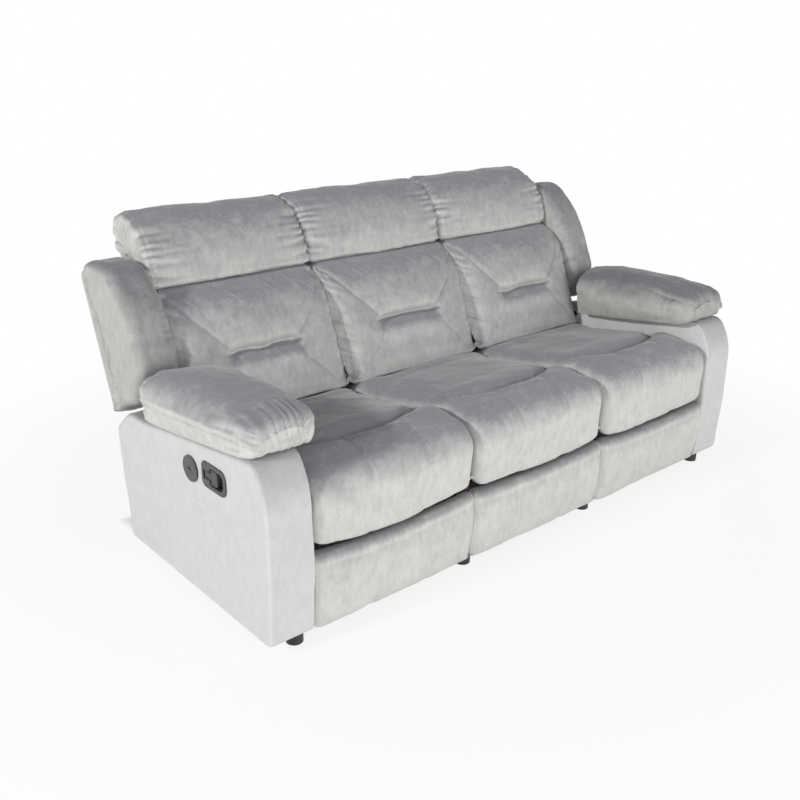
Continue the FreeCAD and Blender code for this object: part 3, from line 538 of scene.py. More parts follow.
def seat_detail(p, half, seed):
    n = normals(p)
    x, y, z = p[..., 0], p[..., 1], p[..., 2]
    ax = np.abs(x)
    side = ax / half
    slope = U_DEPTH * U_POWER / U_HALF * (ax / U_HALF) ** (U_POWER - 1)
    d = (y - seat_seam(x)) / np.sqrt(1 + slope ** 2)
    top = ease(0.35, 0.75, n[..., 2])
    shown = ease(250, 270, z) * (1 - ease(0.2, 0.6, n[..., 1]) * (z < 400))
    ahead = ease(4, 40, -d) * shown
    # The U seam, and the cloth's swells ahead of it and behind it.
    out = top * seam(d, 9 + 8 * side ** 2, 5.0, 9 + 6 * side ** 2, 24)
    out += 7 * bell(d + 54, 34) * top
    out += 3.0 * bell(d - 70, 55) * top
    # The seams of the side bands, which wander a little, and the rounded sides.
    out += ahead * seam(ax - BAND - 4 * wave(z / 90, seed + 5), 3.0, 3.4, 3.4, 20)
    out -= 8 * ease(half - 62, half, ax) ** 1.6 * shown
    # Gathers along the U seam and under the lip, and the raised rear.
    out += 2.4 * gather(x / 31 + 0.02 * y, seed) * np.exp(-np.abs(d + 14) / 18) * top
    out += 1.8 * gather(x / 37, seed + 3) * bell(z - 282, 22) * ahead
    out += 10 * ease(505, 565, y) * ease(652, 640, y) * ease(0.2, 0.6, n[..., 2])
    squeezed = p * np.array([1.0, 0.7, 0.7])
    out -= 0.7 * crease(squeezed, 64, seed + 13, 0.16) * shown * ease(10, 50, np.abs(d))
    out += 3.4 * lumps(p, 120, seed + 7) * shown + 1.0 * lumps(p, 46, seed + 9) * shown
    return moved_out(p, n, out * fading(p))


def front_detail(p, half, seed):
    n = normals(p)
    x, y, z = p[..., 0], p[..., 1], p[..., 2]
    ax = np.abs(x)
    face = ease(0.1, 0.6, -n[..., 1])
    upper = ease(188, 246, z)
    out = face * seam(ax - BAND - 2 * wave(z / 50, seed + 5), 2.8, 3.2, 2.2, 18)
    out += 2.6 * gather(x / 19 + 0.01 * z, seed, 0.75) * upper * (0.4 + 0.6 * face)
    squeezed = p * np.array([1.0, 1.0, 0.8])
    out -= 0.5 * crease(squeezed, 70, seed + 13, 0.15) * face * ease(60, 120, z)
    out += 2.2 * lumps(p, 110, seed + 7) * face + 0.6 * lumps(p, 40, seed + 9) * face
    out -= 4 * ease(half - 40, half, ax) ** 1.5 * face
    return moved_out(p, n, out * fading(p))


# The back's four seams, from the ends of its crease to its corners, as (x, z).
BACK_SEAMS = (
    [(-113, CREASE), (-165, 668), (-214, 716), (-272, 786)],
    [(113, CREASE), (165, 660), (210, 698), (256, 756), (272, 786)],
    [(-113, CREASE), (-126, 580), (-142, 552), (-183, 516), (-226, 470), (-264, 430)],
    [(113, CREASE), (126, 580), (142, 552), (183, 516), (226, 470), (264, 430)])


def back_detail(p, half, seed):
    n = normals(p)
    x, y, z = p[..., 0], p[..., 1], p[..., 2]
    ax = np.abs(x)
    face = ease(0.05, 0.5, -n[..., 1])
    level = z - CREASE - 4 * wave(x / 70, seed + 1)
    # The pinched crease, the swells above it, below it and at the foot, its gathers.
    out = -(24 * bell(level, 5.5) + 15 * bell(level + 9, 20)) * ease(150, 92, ax) * face
    out += 9 * bell(level - 52, 58) * ease(190, 70, ax) * face
    out += 7 * bell(z - 430, 24) * (y < 700)
    out += 5 * bell(level + 42, 30) * ease(175, 90, ax) * face
    pull = gather(x / 27 + 0.012 * level, seed + 2)
    out += 4.5 * pull * np.exp(-np.abs(level) / 26) * ease(150, 80, ax) * face
    for number, line in enumerate(BACK_SEAMS):
        d, along = near(x, z, line)
        out += face * seam(d, 3.0, 2.8, 1.8 if number < 2 else 1.2, 15)
        out += 1.8 * gather(along / 24, seed + 20 + number) * np.exp(-d / 12) * face
    # The top edge: gathers under the roll, a swell, and the seam itself.
    out += 3.6 * gather(x / 30 + 0.03 * z, seed + 4, 0.65) * ease(730, 786, z) * face
    out += 2.5 * bell(z - 740, 40) * face
    out -= 5 * bell(z - 794, 12) * face
    # The gathered side gussets with their seam, and the rounded sides.
    out += 4.0 * gather(z / 20 + 0.02 * x, seed + 6, 0.7) * ease(half - 62, half - 12, ax)
    out -= 3.0 * bell(ax - (half - 15), 4.5)
    out -= 7 * ease(half - 70, half, ax) ** 1.6 * face
    out -= 0.6 * crease(p, 72, seed + 13, 0.14) * face * ease(20, 60, np.abs(level))
    out += 3.2 * lumps(p, 130, seed + 7) * face + 0.9 * lumps(p, 44, seed + 9) * face
    return moved_out(p, n, out * fading(p))


def roll_detail(p, half, seed):
    n = normals(p)
    x, y, z = p[..., 0], p[..., 1], p[..., 2]
    ax = np.abs(x)
    girth = 770.0
    around = np.arange(p.shape[1])[None, :] * (girth / p.shape[1]) + 0 * x
    shown = 1 - bell(z - 796, 10) * (y > 815)
    # Short gathers at the ends, long ones further in, and the end's seam.
    skewed = around + 9.0 * wave(around / 60, seed + 11)
    short = gather(skewed / 20 + 0.006 * (half - ax), seed, 0.72)
    out = 8.0 * short * ease(half - 96, half - 18, ax) ** 1.8
    out += 3.4 * gather((around - 0.04 * ax) / 41, seed + 3, 0.65) * ease(half - 170, half - 60, ax)
    out -= 3.5 * bell(ax - (half - 17), 4.5)
    # The seam to the back, in front, and the gathers above it.
    out += 2.6 * gather(x / 24, seed + 5) * ease(842, 800, z) * (y < 880)
    out -= 6 * bell(z - 798, 9) * (y < 880)
    out -= 0.7 * crease(p, 80, seed + 13, 0.15)
    out += 4.0 * lumps(p, 150, seed + 7) + 1.0 * lumps(p, 48, seed + 9)
    return moved_out(p, n, out * shown * fading(p))


# The wing's seam on its outer face, from top to bottom, as (y, z).
WING_SEAM = ((972, 868), (958, 823), (927, 759), (885, 685), (851, 580), (795, 480))


def wing_detail(p, seed):
    n = normals(p)
    x, y, z = p[..., 0], p[..., 1], p[..., 2]
    outer = ease(20, 50, x)
    inner = ease(-20, -50, x)
    seam_y, seam_z = np.array(WING_SEAM[::-1], float).T
    in_front = y < np.interp(z, seam_z, seam_y)
    d, along = near(y, z, WING_SEAM)
    out = outer * seam(d, 7.0, 5.0, 2.0, 16)
    out += outer * 5.0 * ease(4, 60, d) * in_front
    out += 2.5 * gather(along / 26, seed) * np.exp(-d / 30) * outer
    out += 3.5 * gather(z / 30 + 0.02 * y, seed + 2) * inner * ease(760, 690, y)
    out += 4.0 * gather(along / 15, seed + 4, 0.7) * ease(560, 480, z) * outer
    out += 3.0 * lumps(p, 90, seed + 7) + 0.9 * lumps(p, 30, seed + 9)
    out += 9.0 * ease(560, 500, z) * ease(-0.1, -0.6, n[..., 2])
    kept_clear = ease(14, 34, rear_y(z) - y)
    return moved_out(p, n, out * fading(p) ** 0.5 * kept_clear)


def pad_detail(p, seed):
    n = normals(p)
    x, y, z = p[..., 0], p[..., 1], p[..., 2]
    high = (z - pad_low(y)) / np.interp(y, PAD[:, 0], PAD[:, 4])
    around = np.arange(p.shape[1])[None, :] * 5.0 + 0 * x
    outer = ease(960, 1000, x)
    inner = ease(850, 800, x)
    nose = ease(230, 90, y)
    # The boxing's seam along the outer side, the dip under it and the edge over it.
    out = outer * (4 * bell(high - 0.53, 0.07) - 6 * bell(high - 0.43, 0.022) - 5 * bell(high - 0.30, 0.12))
    out += outer * 2.5 * gather(y / 17, seed) * bell(high - 0.36, 0.2)
    over_seam = gather(y / 21 + 0.4 * high, seed + 1) * bell(high - 0.52, 0.14)
    out += outer * 3.0 * over_seam * ease(300, 130, y)
    # Gathers that run back from the nose, and those on the inner side and the tail.
    out += 6.0 * gather(x / 21 + 0.4 * wave(z / 70, seed + 12), seed + 2, 0.68) * nose ** 1.4
    out += 3.5 * gather(around / 36 - 0.006 * y, seed + 3) * ease(330, 160, y) * ease(60, 110, y)
    out += inner * 2.0 * gather(y / 24, seed + 4) * bell(high - 0.4, 0.3)
    out += 3.0 * gather(around / 18, seed + 5) * ease(560, 610, y)
    out += 3.5 * lumps(p, 120, seed + 7) + 1.0 * lumps(p, 36, seed + 9)
    return moved_out(p, n, out * fading(p) ** 0.3 * ease(0.0, 0.08, high))


# Materials: all made of nodes.
def tree_of(name):
    made = bpy.data.materials.new(name)
    made.use_nodes = True
    tree = made.node_tree
    shader = tree.nodes["Principled BSDF"]
    return made, tree, shader


def node(tree, kind, **given):
    made = tree.nodes.new(kind)
    for key, value in given.items():
        if key in made.inputs:
            made.inputs[key].default_value = value
        else:
            setattr(made, key, value)
    return made


def noise(tree, place, scale, detail=2.0, rough=0.5):
    made = node(tree, "ShaderNodeTexNoise", Scale=scale, Detail=detail, Roughness=rough)
    tree.links.new(place, made.inputs["Vector"])
    return made.outputs["Fac"]


def maths(tree, operation, a, b=0.0):
    made = node(tree, "ShaderNodeMath", operation=operation)
    for spot, value in enumerate((a, b)):
        if isinstance(value, (int, float)):
            made.inputs[spot].default_value = value
        else:
            tree.links.new(value, made.inputs[spot])
    return made.outputs[0]


def swing(tree, value, gain):
    """Noise of 0 to 1 as a swing about 0."""
    return maths(tree, "MULTIPLY", maths(tree, "SUBTRACT", value, 0.5), gain)


def spread(tree, value, low, high, to_low=0.0, to_high=1.0):
    made = node(tree, "ShaderNodeMapRange")
    tree.links.new(value, made.inputs["Value"])
    for key, number in (("From Min", low), ("From Max", high), ("To Min", to_low), ("To Max", to_high)):
        made.inputs[key].default_value = number
    return made.outputs["Result"]


def mixed(tree, factor, a, b, blend="MIX"):
    made = node(tree, "ShaderNodeMix", data_type="RGBA", blend_type=blend)
    for spot, value in ((0, factor), (6, a), (7, b)):
        if isinstance(value, (tuple, float, int)):
            made.inputs[spot].default_value = value
        else:
            tree.links.new(value, made.inputs[spot])
    return made.outputs[2]


def bumped(tree, shader, height, distance, strength=1.0):
    made = node(tree, "ShaderNodeBump", Strength=strength, Distance=distance)
    tree.links.new(height, made.inputs["Height"])
    tree.links.new(made.outputs["Normal"], shader.inputs["Normal"])


def seen_straight(tree):
    """1 for what the camera sees, also through mirrors and glass, and 0 for light that bounces."""
    rays = node(tree, "ShaderNodeLightPath")
    others = maths(tree, "MAXIMUM", rays.outputs["Is Glossy Ray"], rays.outputs["Is Transmission Ray"])
    return maths(tree, "MAXIMUM", rays.outputs["Is Camera Ray"], others)


def placed(tree, scale=(1, 1, 1)):
    """Object coordinates, shifted from piece to piece so that no two look alike."""
    where = node(tree, "ShaderNodeTexCoord")
    info = node(tree, "ShaderNodeObjectInfo")
    away = node(tree, "ShaderNodeVectorMath", operation="SCALE")
    away.inputs[0].default_value = (3.0, 5.1, 1.8)
    tree.links.new(info.outputs["Random"], away.inputs["Scale"])
    turned = node(tree, "ShaderNodeMapping")
    turned.inputs["Scale"].default_value = scale
    tree.links.new(where.outputs["Object"], turned.inputs["Vector"])
    tree.links.new(away.outputs["Vector"], turned.inputs["Location"])
    return turned.outputs["Vector"], where


def velvet(name, light, dark, painted_sheen, wild):
    """Short plush, brushed into soft marks, more if wild; top faces are painted darker as painted shade, and
    faces seen at a grazing angle paler as a painted sheen.
    """
    made, tree, shader = tree_of(name)
    place, where = placed(tree)
    streak, _ = placed(tree, (1.0, 1.0, 0.35))
    split = node(tree, "ShaderNodeSeparateXYZ")
    tree.links.new(where.outputs["Normal"], split.inputs[0])
    # Faces that point up move toward the dark colour: painted shade on top faces; the marks also move it at
    # random.
    up = spread(tree, split.outputs["Z"], -0.02, 0.85)
    brushed = noise(tree, place, 19.0, 5.0, 0.62)
    marks = noise(tree, streak, 60.0, 3.0, 0.6)
    fine = noise(tree, place, 170.0, 2.0, 0.6)
    wander = maths(tree, "ADD", swing(tree, brushed, 0.62 * wild), swing(tree, marks, 0.7 * wild))
    factor = maths(tree, "ADD", up, wander)
    factor = maths(tree, "ADD", factor, swing(tree, fine, 0.42))
    factor = spread(tree, factor, -0.12, 1.0)
    colour = mixed(tree, factor, light, dark)
    # Faces seen at a grazing angle move toward a paler colour: a painted sheen.
    facing = node(tree, "ShaderNodeLayerWeight", Blend=0.35)
    rim = spread(tree, facing.outputs["Facing"], 0.55, 1.0, 0.0, 0.45)
    colour = mixed(tree, rim, colour, painted_sheen)
    # The object's colour multiplies all this; some pieces use it for painted shade.
    shade = node(tree, "ShaderNodeObjectInfo").outputs["Color"]
    colour = mixed(tree, 1.0, colour, shade, "MULTIPLY")
    tree.links.new(colour, shader.inputs["Base Color"])
    rough = spread(tree, brushed, 0.3, 0.7, 0.78, 0.92)
    tree.links.new(rough, shader.inputs["Roughness"])
    shader.inputs["Sheen Weight"].default_value = 0.22
    shader.inputs["Sheen Roughness"].default_value = 0.4
    shader.inputs["Specular IOR Level"].default_value = 0.18
    pile = noise(tree, place, 900.0, 2.0, 0.6)
    crumple = noise(tree, place, 42.0, 3.0, 0.5)
    height = maths(tree, "ADD", maths(tree, "MULTIPLY", pile, 0.35), maths(tree, "MULTIPLY", crumple, 1.0))
    bumped(tree, shader, height, 0.0022, 0.55)
    return made


def timber(name):
    made, tree, shader = tree_of(name)
    place, _ = placed(tree, (2.0, 2.0, 14.0))
    grain = noise(tree, place, 6.0, 6.0, 0.6)
    bands = node(tree, "ShaderNodeTexWave", Scale=1.6, Distortion=5.0, Detail=3.0)
    tree.links.new(place, bands.inputs["Vector"])
    both = maths(tree, "ADD", maths(tree, "MULTIPLY", grain, 0.6),
                 maths(tree, "MULTIPLY", bands.outputs["Fac"], 0.4))
    colour = mixed(tree, spread(tree, both, 0.3, 0.7), (0.33, 0.25, 0.17, 1), (0.22, 0.155, 0.1, 1))
    tree.links.new(colour, shader.inputs["Base Color"])
    shader.inputs["Roughness"].default_value = 0.72
    bumped(tree, shader, both, 0.0008, 0.5)
    return made


def metal(name, colour, rough, worn):
    made, tree, shader = tree_of(name)
    place, _ = placed(tree)
    spots = noise(tree, place, 55.0, 4.0, 0.6)
    scratch = noise(tree, place, 420.0, 2.0, 0.5)
    tree.links.new(mixed(tree, spread(tree, spots, 0.4, 0.72), colour, worn), shader.inputs["Base Color"])
    tree.links.new(spread(tree, scratch, 0.3, 0.7, rough - 0.1, rough + 0.12), shader.inputs["Roughness"])
    shader.inputs["Metallic"].default_value = 0.85
    bumped(tree, shader, scratch, 0.0002, 0.5)
    return made


def plastic(name, colour, pale, rough):
    made, tree, shader = tree_of(name)
    place, _ = placed(tree)
    cloud = noise(tree, place, 30.0, 3.0, 0.5)
    dots = noise(tree, place, 650.0, 1.0, 0.4)
    tree.links.new(mixed(tree, spread(tree, cloud, 0.35, 0.7), colour, pale), shader.inputs["Base Color"])
    tree.links.new(spread(tree, dots, 0.3, 0.7, rough - 0.07, rough + 0.1), shader.inputs["Roughness"])
    bumped(tree, shader, dots, 0.00025, 0.6)
    return made


# Each velvet's colours: its own, a darker one for top faces as painted shade, and a paler one at grazing
# view as a painted sheen; velvet_side's top faces get less painted shade.
finishes = {
    "velvet_light": velvet("velvet_light", (0.70, 0.69, 0.66, 1), (0.30, 0.293, 0.315, 1),
                           (0.80, 0.79, 0.785, 1), 1.0),
    "velvet_side": velvet("velvet_side", (0.72, 0.715, 0.705, 1), (0.40, 0.39, 0.41, 1),
                          (0.80, 0.79, 0.785, 1), 0.5),
    "timber": timber("timber"),
    "steel_dark": metal("steel_dark", (0.09, 0.09, 0.095, 1), 0.42, (0.17, 0.165, 0.16, 1)),
    "spring_steel": metal("spring_steel", (0.42, 0.42, 0.43, 1), 0.34, (0.3, 0.28, 0.25, 1)),
    "grey_plastic": plastic("grey_plastic", (0.05, 0.047, 0.048, 1), (0.075, 0.07, 0.07, 1), 0.38),
    "foot_plastic": plastic("foot_plastic", (0.012, 0.012, 0.013, 1), (0.03, 0.03, 0.03, 1), 0.5),
    "cable_jacket": plastic("cable_jacket", (0.01, 0.01, 0.01, 1), (0.02, 0.02, 0.02, 1), 0.45),
}
slot_of = {row["node"]: row["material_slot"] for row in frame["record"]["subparts"]}
for name, part in nodes.items():
    for spot in part.material_slots:
        spot.material = finishes[slot_of[name]]


# Pieces that stand for the soft CAD solids.
def set_up(made, cad_node, fill=None):
    slot = slot_of[cad_node]
    made.data.materials.append(finishes[slot])
    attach(made, nodes[cad_node]["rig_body"])
    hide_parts(cad_node)
    return made


def fitted(p, middle, half):
    """Rings made for an end seat, set to this seat's width and place."""
    q = p.copy()
    q[..., 0] = np.clip(q[..., 0] * half / END_HALF, -half, half) + middle
    return q


def wing_rings(side, seed):
    p = wing_detail(shapes["wing"] + gains["wing"], seed)
    drop = np.maximum(p[..., 2] - WING_FOLDED_FROM, 0) * (1 - WING_TALL[side])
    p[..., 2] -= drop
    p[..., 1] -= drop * REAR_LEAN
    gap = 1.5
    p[..., 0] = np.clip(p[..., 0], -WING_HALF, WING_HALF) + ARM_IN - gap + WING_HALF
    return p


def pillow_rings(side, seed):
    """The pillow, lowered onto the arm and narrowed on its inner side, most at the nose."""
    p = pad_detail(shapes["pad"] + gains["pad"], seed)
    low = pad_low(p[..., 1])
    p[..., 2] = low + (p[..., 2] - low) * PAD_TALL[side]
    toward_nose = 0.45 + 0.55 * ease(360, 130, p[..., 1])
    p[..., 0] += PAD_NARROW[side] * ease(905, 790, p[..., 0]) * toward_nose
    return p


PARTS = {
    "seat": (seat_detail, "seat_cushion", 0.85), "front": (front_detail, "footrest_pad", 0.9),
    "back": (back_detail, "back_cushion", 0.8), "roll": (roll_detail, "head_roll", 0.8)}
for number, (side, (middle, half)) in enumerate(ACROSS.items()):
    for key, (detail, ending, fill) in PARTS.items():
        p = detail(shapes[key] + gains[key], END_HALF, 100 * number + 7)
        fixed = side == "middle" and key == "front"
        cad_node = "middle_front_pad" if fixed else side + "_" + ending
        set_up(mesh_of(cad_node + "_soft", fitted(p, middle, half)), cad_node, fill)

for number, (side, sign) in enumerate(SIDES):
    wing = wing_rings(side, 300 + 50 * number)
    pillow = pillow_rings(side, 400 + 50 * number)
    for name, ringed, fill in (("wing", wing, 0.85), ("arm_pad", pillow, 0.75)):
        ringed[..., 0] *= sign
        cad_node = side + "_" + name
        made = set_up(mesh_of(cad_node + "_soft", ringed), cad_node, fill)
        # Some wings and pillows are darkened through the object's colour: painted shade.
        shade = PAINTED_SHADE.get(cad_node, 1.0)
        made.color = (shade, shade, shade, 1)


# Arm covers: cloth over the frame, with a hole for the handle's bezel.
ARM_SOFT = 14
INNER_EDGE = 8
OUTER_EDGE = 11
HOLE_HALF = (52, 30)
HEM = 18


def arm_rings(sign, seed):
    base = outline(ARM, 460, ARM_SOFT)
    turn = np.linspace(0, 0.5 * math.pi, 7)
    centre = base.mean(0)
    rows = []
    for k in CAP[::-1]:
        rows.append((ARM_IN, centre + (inward(base, INNER_EDGE) - centre) * k))
    for t in turn:
        rows.append((ARM_IN + INNER_EDGE * (1 - math.cos(t)), inward(base, INNER_EDGE * (1 - math.sin(t)))))
    for x in np.linspace(ARM_IN + 14, ARM_OUT - 22, 18):
        rows.append((x, base))
    for t in turn:
        rows.append((ARM_OUT - OUTER_EDGE * (1 - math.sin(t)), inward(base, OUTER_EDGE * (1 - math.cos(t)))))
    edge = rows[-1][1]
    reach = edge - HANDLE
    rim = HANDLE + reach / np.max(np.abs(reach) / HOLE_HALF, axis=1)[:, None]
    for k in np.linspace(0, 1, 34)[1:]:
        rows.append((ARM_OUT, edge + (rim - edge) * k ** 0.9))
    rows.append((ARM_OUT - HEM, rim))
    p = stacked(rows)
    n = normals(p)
    n[p[..., 0] > ARM_OUT - 0.5] = (1, 0, 0)
    y, z = p[..., 1], p[..., 2]
    from_handle = np.hypot(y - HANDLE[0], (z - HANDLE[1]) * 1.3)
    from_socket = np.hypot(y - SOCKET[0], z - SOCKET[1])
    tight = ease(74, 120, from_handle) * ease(45, 75, from_socket) * ease(36, 90, z)
    p = moved_out(p, n, (1.6 * lumps(p, 130, seed) + 0.5 * lumps(p, 40, seed + 1)) * tight)
    p[..., 0] = np.clip(p[..., 0], ARM_IN, ARM_OUT + 1.5) * sign
    return p


for number, (side, sign) in enumerate(SIDES):
    set_up(mesh_of(side + "_arm_cover_soft", arm_rings(sign, 500 + number)), side + "_arm_cover", 0.9)


# Handles: a bezel with a keyhole opening, and the paddle that hangs in it. The
# outlines are (y, z) and the rows go through them from one middle to the other.
def rounded(low_y, high_y, low_z, high_z, rear_radius, front_radius):
    """A rectangle in side view, its rear and front corners rounded, nine points to a corner."""
    points = []
    spots = ((high_y, low_z, 1, -1), (high_y, high_z, 1, 1), (low_y, high_z, -1, 1), (low_y, low_z, -1, -1))
    for number, (y, z, sy, sz) in enumerate(spots):
        r = rear_radius if sy > 0 else front_radius
        for k in range(9):
            t = math.radians(-90 + 90 * number + 11.25 * k)
            points.append((y - sy * r + r * math.cos(t), z - sz * r + r * math.sin(t)))
    return points


def fanned(points, count=240):
    """A closed outline sampled at even angles about the handle's centre, which sees all of it."""
    q = np.array(points + points[:1], float)
    dense = []
    for a, b in zip(q[:-1], q[1:]):
        share = np.linspace(0, 1, max(2, int(math.hypot(*(b - a)) * 2)), endpoint=False)[:, None]
        dense.append(a + (b - a) * share)
    away = np.concatenate(dense) - HANDLE_CENTRE
    turn = np.arctan2(away[:, 1], away[:, 0])
    order = np.argsort(turn)
    angles = np.linspace(-math.pi, math.pi, count, endpoint=False)
    far = np.interp(angles, turn[order], np.hypot(*away.T)[order], period=2 * math.pi)
    return HANDLE_CENTRE + np.column_stack([np.cos(angles), np.sin(angles)]) * far[:, None]


def with_tail(points, far_y, low_z, high_z):
    """An outline with a bar toward the rear, set in after its first corner."""
    near_y = points[9][0]
    return points[:9] + [(near_y, low_z), (far_y, low_z), (far_y, high_z), (near_y, high_z)] + points[9:]


def smaller(p, amount):
    return inward(p[::-1], amount)[::-1]


def shrunk(p, k):
    return HANDLE_CENTRE + (p - HANDLE_CENTRE) * k


def closing(x, p, shares):
    """Flat rows at x that fill an outline's middle."""
    return [(x, shrunk(p, k)) for k in shares]


def plate(name, rows, sign):
    made = mesh_of(name, stacked(rows) * (sign, 1, 1))
    made.data.shade_flat()
    return made


HANDLE_CENTRE = np.array([245.0, 437.0])
CUP_BACK, CUP_FLOOR, CUP_MIDDLE = 981.0, 985.0, 1000.0
FLANGE_BACK, FLANGE_FRONT = 1015.1, 1019.0
BLADE_BACK, BLADE_FRONT = 1008.0, 1018.0
OUTWARD = (0.1, 0.5, 0.97)

flange = fanned(rounded(175, 297, 399, 475, 20, 27))
keyhole = fanned(with_tail(rounded(188, 254, 412, 462, 5, 20), 287, 425, 449))
cup_out = fanned(rounded(184, 288, 407, 467, 2, 2))
cup_in = fanned(rounded(188, 284, 411, 463, 2, 2))
tee = fanned(with_tail(rounded(218, 251, 415, 459, 4, 9), 280, 427, 447))

bezel_rows = closing(CUP_BACK, cup_out, OUTWARD)
bezel_rows += [(x, cup_out) for x in (CUP_BACK, CUP_MIDDLE, FLANGE_BACK)]
bezel_rows += [(FLANGE_BACK, flange), (1017.0, flange)]
bezel_rows += [(1018.3, smaller(flange, 0.5)), (FLANGE_FRONT, smaller(flange, 1.8))]
bezel_rows += [(FLANGE_FRONT, smaller(keyhole, -1.2)), (1018.4, keyhole), (FLANGE_BACK, keyhole)]
bezel_rows += [(x, cup_in) for x in (ARM_OUT, CUP_MIDDLE, CUP_FLOOR)]
bezel_rows += closing(CUP_FLOOR, cup_in, OUTWARD[::-1])
paddle_rows = closing(BLADE_BACK, tee, OUTWARD) + [(BLADE_BACK, tee), (1016.0, tee)]
paddle_rows += [(1017.4, smaller(tee, 0.6)), (BLADE_FRONT, smaller(tee, 2.0))]
paddle_rows += closing(1017.2, smaller(tee, 2.0), (0.9, 0.5, 0.1))
for side, sign in SIDES:
    set_up(plate(side + "_handle_bezel_shell", bezel_rows, sign), side + "_handle_bezel")
    set_up(plate(side + "_release_paddle_shell", paddle_rows, sign), side + "_release_paddle")


# Rear covers: cloth pulled over board, with a slightly drawn-in edge.
COVER_THICK = 14
PANEL_STEP = 14
PANEL_EDGE = 5.0


def panel_rings(path, middle, half, seed):
    places, drawn = stations(half, PANEL_EDGE, PANEL_STEP)
    p = rings(places, [inward(outline(path, 130, 2.5), PANEL_EDGE * d) for d in drawn])
    n = normals(p)
    rear = ease(0.3, 0.8, n[..., 1])
    p = moved_out(p, n, 2.0 * (1 - (p[..., 0] / half) ** 4) * rear * lumps(p, 160, seed))
    p[..., 0] += middle
    return p


cover_path = [
    (rear_y(COVER_LOW) - COVER_THICK, COVER_LOW, None), (rear_y(COVER_LOW), COVER_LOW, None),
    (rear_y(COVER_HIGH), COVER_HIGH, None), (rear_y(COVER_HIGH) - COVER_THICK, COVER_HIGH, None)]
for side, (middle, half) in ACROSS.items():
    made = mesh_of(side + "_back_cover_soft", panel_rings(cover_path, middle, half, 600))
    set_up(made, side + "_back_cover", 0.95)
strip_path = [(778, 34, None), (791, 34, None), (820, 272, None), (807, 272, None)]
strip = mesh_of("rear_panel_soft", panel_rings(strip_path, 0.0, ARM_IN - 1, 640))
set_up(strip, "rear_panel", 0.95)


# Camera at the photographed view: its turn and place were fitted to the photo.
AZIMUTH, ELEVATION, ROLL = [math.radians(v) for v in (-40.62, 21.21, 0.49)]
CAMERA_SPOT = (-2.1139, -2.2968, 1.5335)
PICTURE = 800
FOCAL = 960.6
SENSOR = 36

back = Vector((math.sin(AZIMUTH) * math.cos(ELEVATION), -math.cos(AZIMUTH) * math.cos(ELEVATION),
               math.sin(ELEVATION)))
level = (-back).cross(Vector((0, 0, 1))).normalized()
upright = level.cross(-back)
right = math.cos(ROLL) * level + math.sin(ROLL) * upright
up = -math.sin(ROLL) * level + math.cos(ROLL) * upright
camera = bpy.data.objects.new("camera", bpy.data.cameras.new("camera"))
bpy.context.scene.collection.objects.link(camera)
turned = Matrix((right, up, back)).transposed().to_4x4()
camera.matrix_world = Matrix.Translation(CAMERA_SPOT) @ turned
camera.data.sensor_fit = "HORIZONTAL"
camera.data.sensor_width = SENSOR
camera.data.lens = FOCAL / PICTURE * SENSOR
camera.data.clip_end = 200
bpy.context.scene.camera = camera


# Floor: a matt one that shades, mixed with a plain white that only the camera
# sees, more of it further out and none under the sofa.
UNDER_SOFA = (0.985, 0.465)
UNDER_EDGE = 0.05
WHITE_FROM, WHITE_FULL = 1.15, 2.2
WHITE_SHARE = 0.86

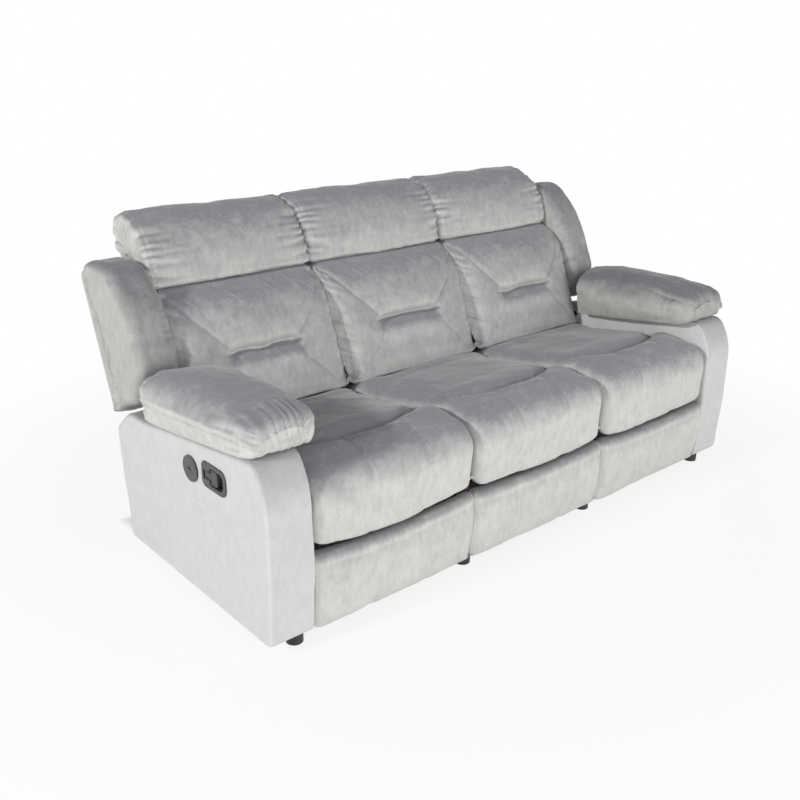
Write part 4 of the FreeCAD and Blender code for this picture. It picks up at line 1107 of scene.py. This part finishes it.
bpy.ops.mesh.primitive_plane_add(size=60, location=(0, 0, 0))
floor = bpy.context.object
floor.name = "floor"
made, tree, shader = tree_of("floor")
shader.inputs["Base Color"].default_value = (0.88, 0.88, 0.88, 1)
shader.inputs["Roughness"].default_value = 0.9
shader.inputs["Specular IOR Level"].default_value = 0.1
glow = node(tree, "ShaderNodeEmission", Color=(1, 1, 1, 1), Strength=1.0)
place = node(tree, "ShaderNodeTexCoord").outputs["Object"]
far = node(tree, "ShaderNodeVectorMath", operation="LENGTH")
tree.links.new(place, far.inputs[0])
axes = node(tree, "ShaderNodeSeparateXYZ")
tree.links.new(place, axes.inputs[0])
past = [maths(tree, "SUBTRACT", maths(tree, "ABSOLUTE", axes.outputs[axis]), half)
        for axis, half in zip("XY", UNDER_SOFA)]
outside = spread(tree, maths(tree, "MAXIMUM", *past), -UNDER_EDGE, 0.0)
share = spread(tree, far.outputs["Value"], WHITE_FROM, WHITE_FULL, WHITE_SHARE, 1.0)
share = maths(tree, "MULTIPLY", maths(tree, "MULTIPLY", seen_straight(tree), outside), share)
both = node(tree, "ShaderNodeMixShader")
tree.links.new(share, both.inputs[0])
tree.links.new(shader.outputs[0], both.inputs[1])
tree.links.new(glow.outputs[0], both.inputs[2])
tree.links.new(both.outputs[0], tree.nodes["Material Output"].inputs[0])
floor.data.materials.append(made)


# Lights, all aimed at the sofa's middle: name, place, size, power and colour.
AIM = Vector((0, 0, 0.5))
LAMPS = (
    ("key", (-8.6, 0.3, 4.3), 0.9, 430, (1.0, 0.99, 0.975)),
    ("fill", (3.2, -4.2, 2.2), 3.5, 40, (0.98, 0.98, 1.0)),
    ("front", (-1.0, -5.4, 1.0), 3.0, 130, (1.0, 1.0, 0.985)))
WORLD_LIGHT = 0.33

for name, spot, size, power, colour in LAMPS:
    light = bpy.data.lights.new(name, "AREA")
    light.shape = "DISK"
    light.size = size
    light.energy = power
    light.color = colour
    made = bpy.data.objects.new(name, light)
    bpy.context.scene.collection.objects.link(made)
    made.location = spot
    made.rotation_euler = (AIM - Vector(spot)).to_track_quat("-Z", "Y").to_euler()

# Backdrop: white to the camera, a weaker bluish light to everything else.
world = bpy.data.worlds.new("studio")
bpy.context.scene.world = world
world.use_nodes = True
tree = world.node_tree
plain = tree.nodes["Background"]
plain.inputs["Color"].default_value = (0.95, 0.97, 1.0, 1)
plain.inputs["Strength"].default_value = WORLD_LIGHT
white = node(tree, "ShaderNodeBackground", Color=(1, 1, 1, 1), Strength=1.0)
blend = node(tree, "ShaderNodeMixShader")
tree.links.new(seen_straight(tree), blend.inputs[0])
tree.links.new(plain.outputs[0], blend.inputs[1])
tree.links.new(white.outputs[0], blend.inputs[2])
tree.links.new(blend.outputs[0], tree.nodes["World Output"].inputs[0])
bpy.context.scene.view_settings.view_transform = "Standard"
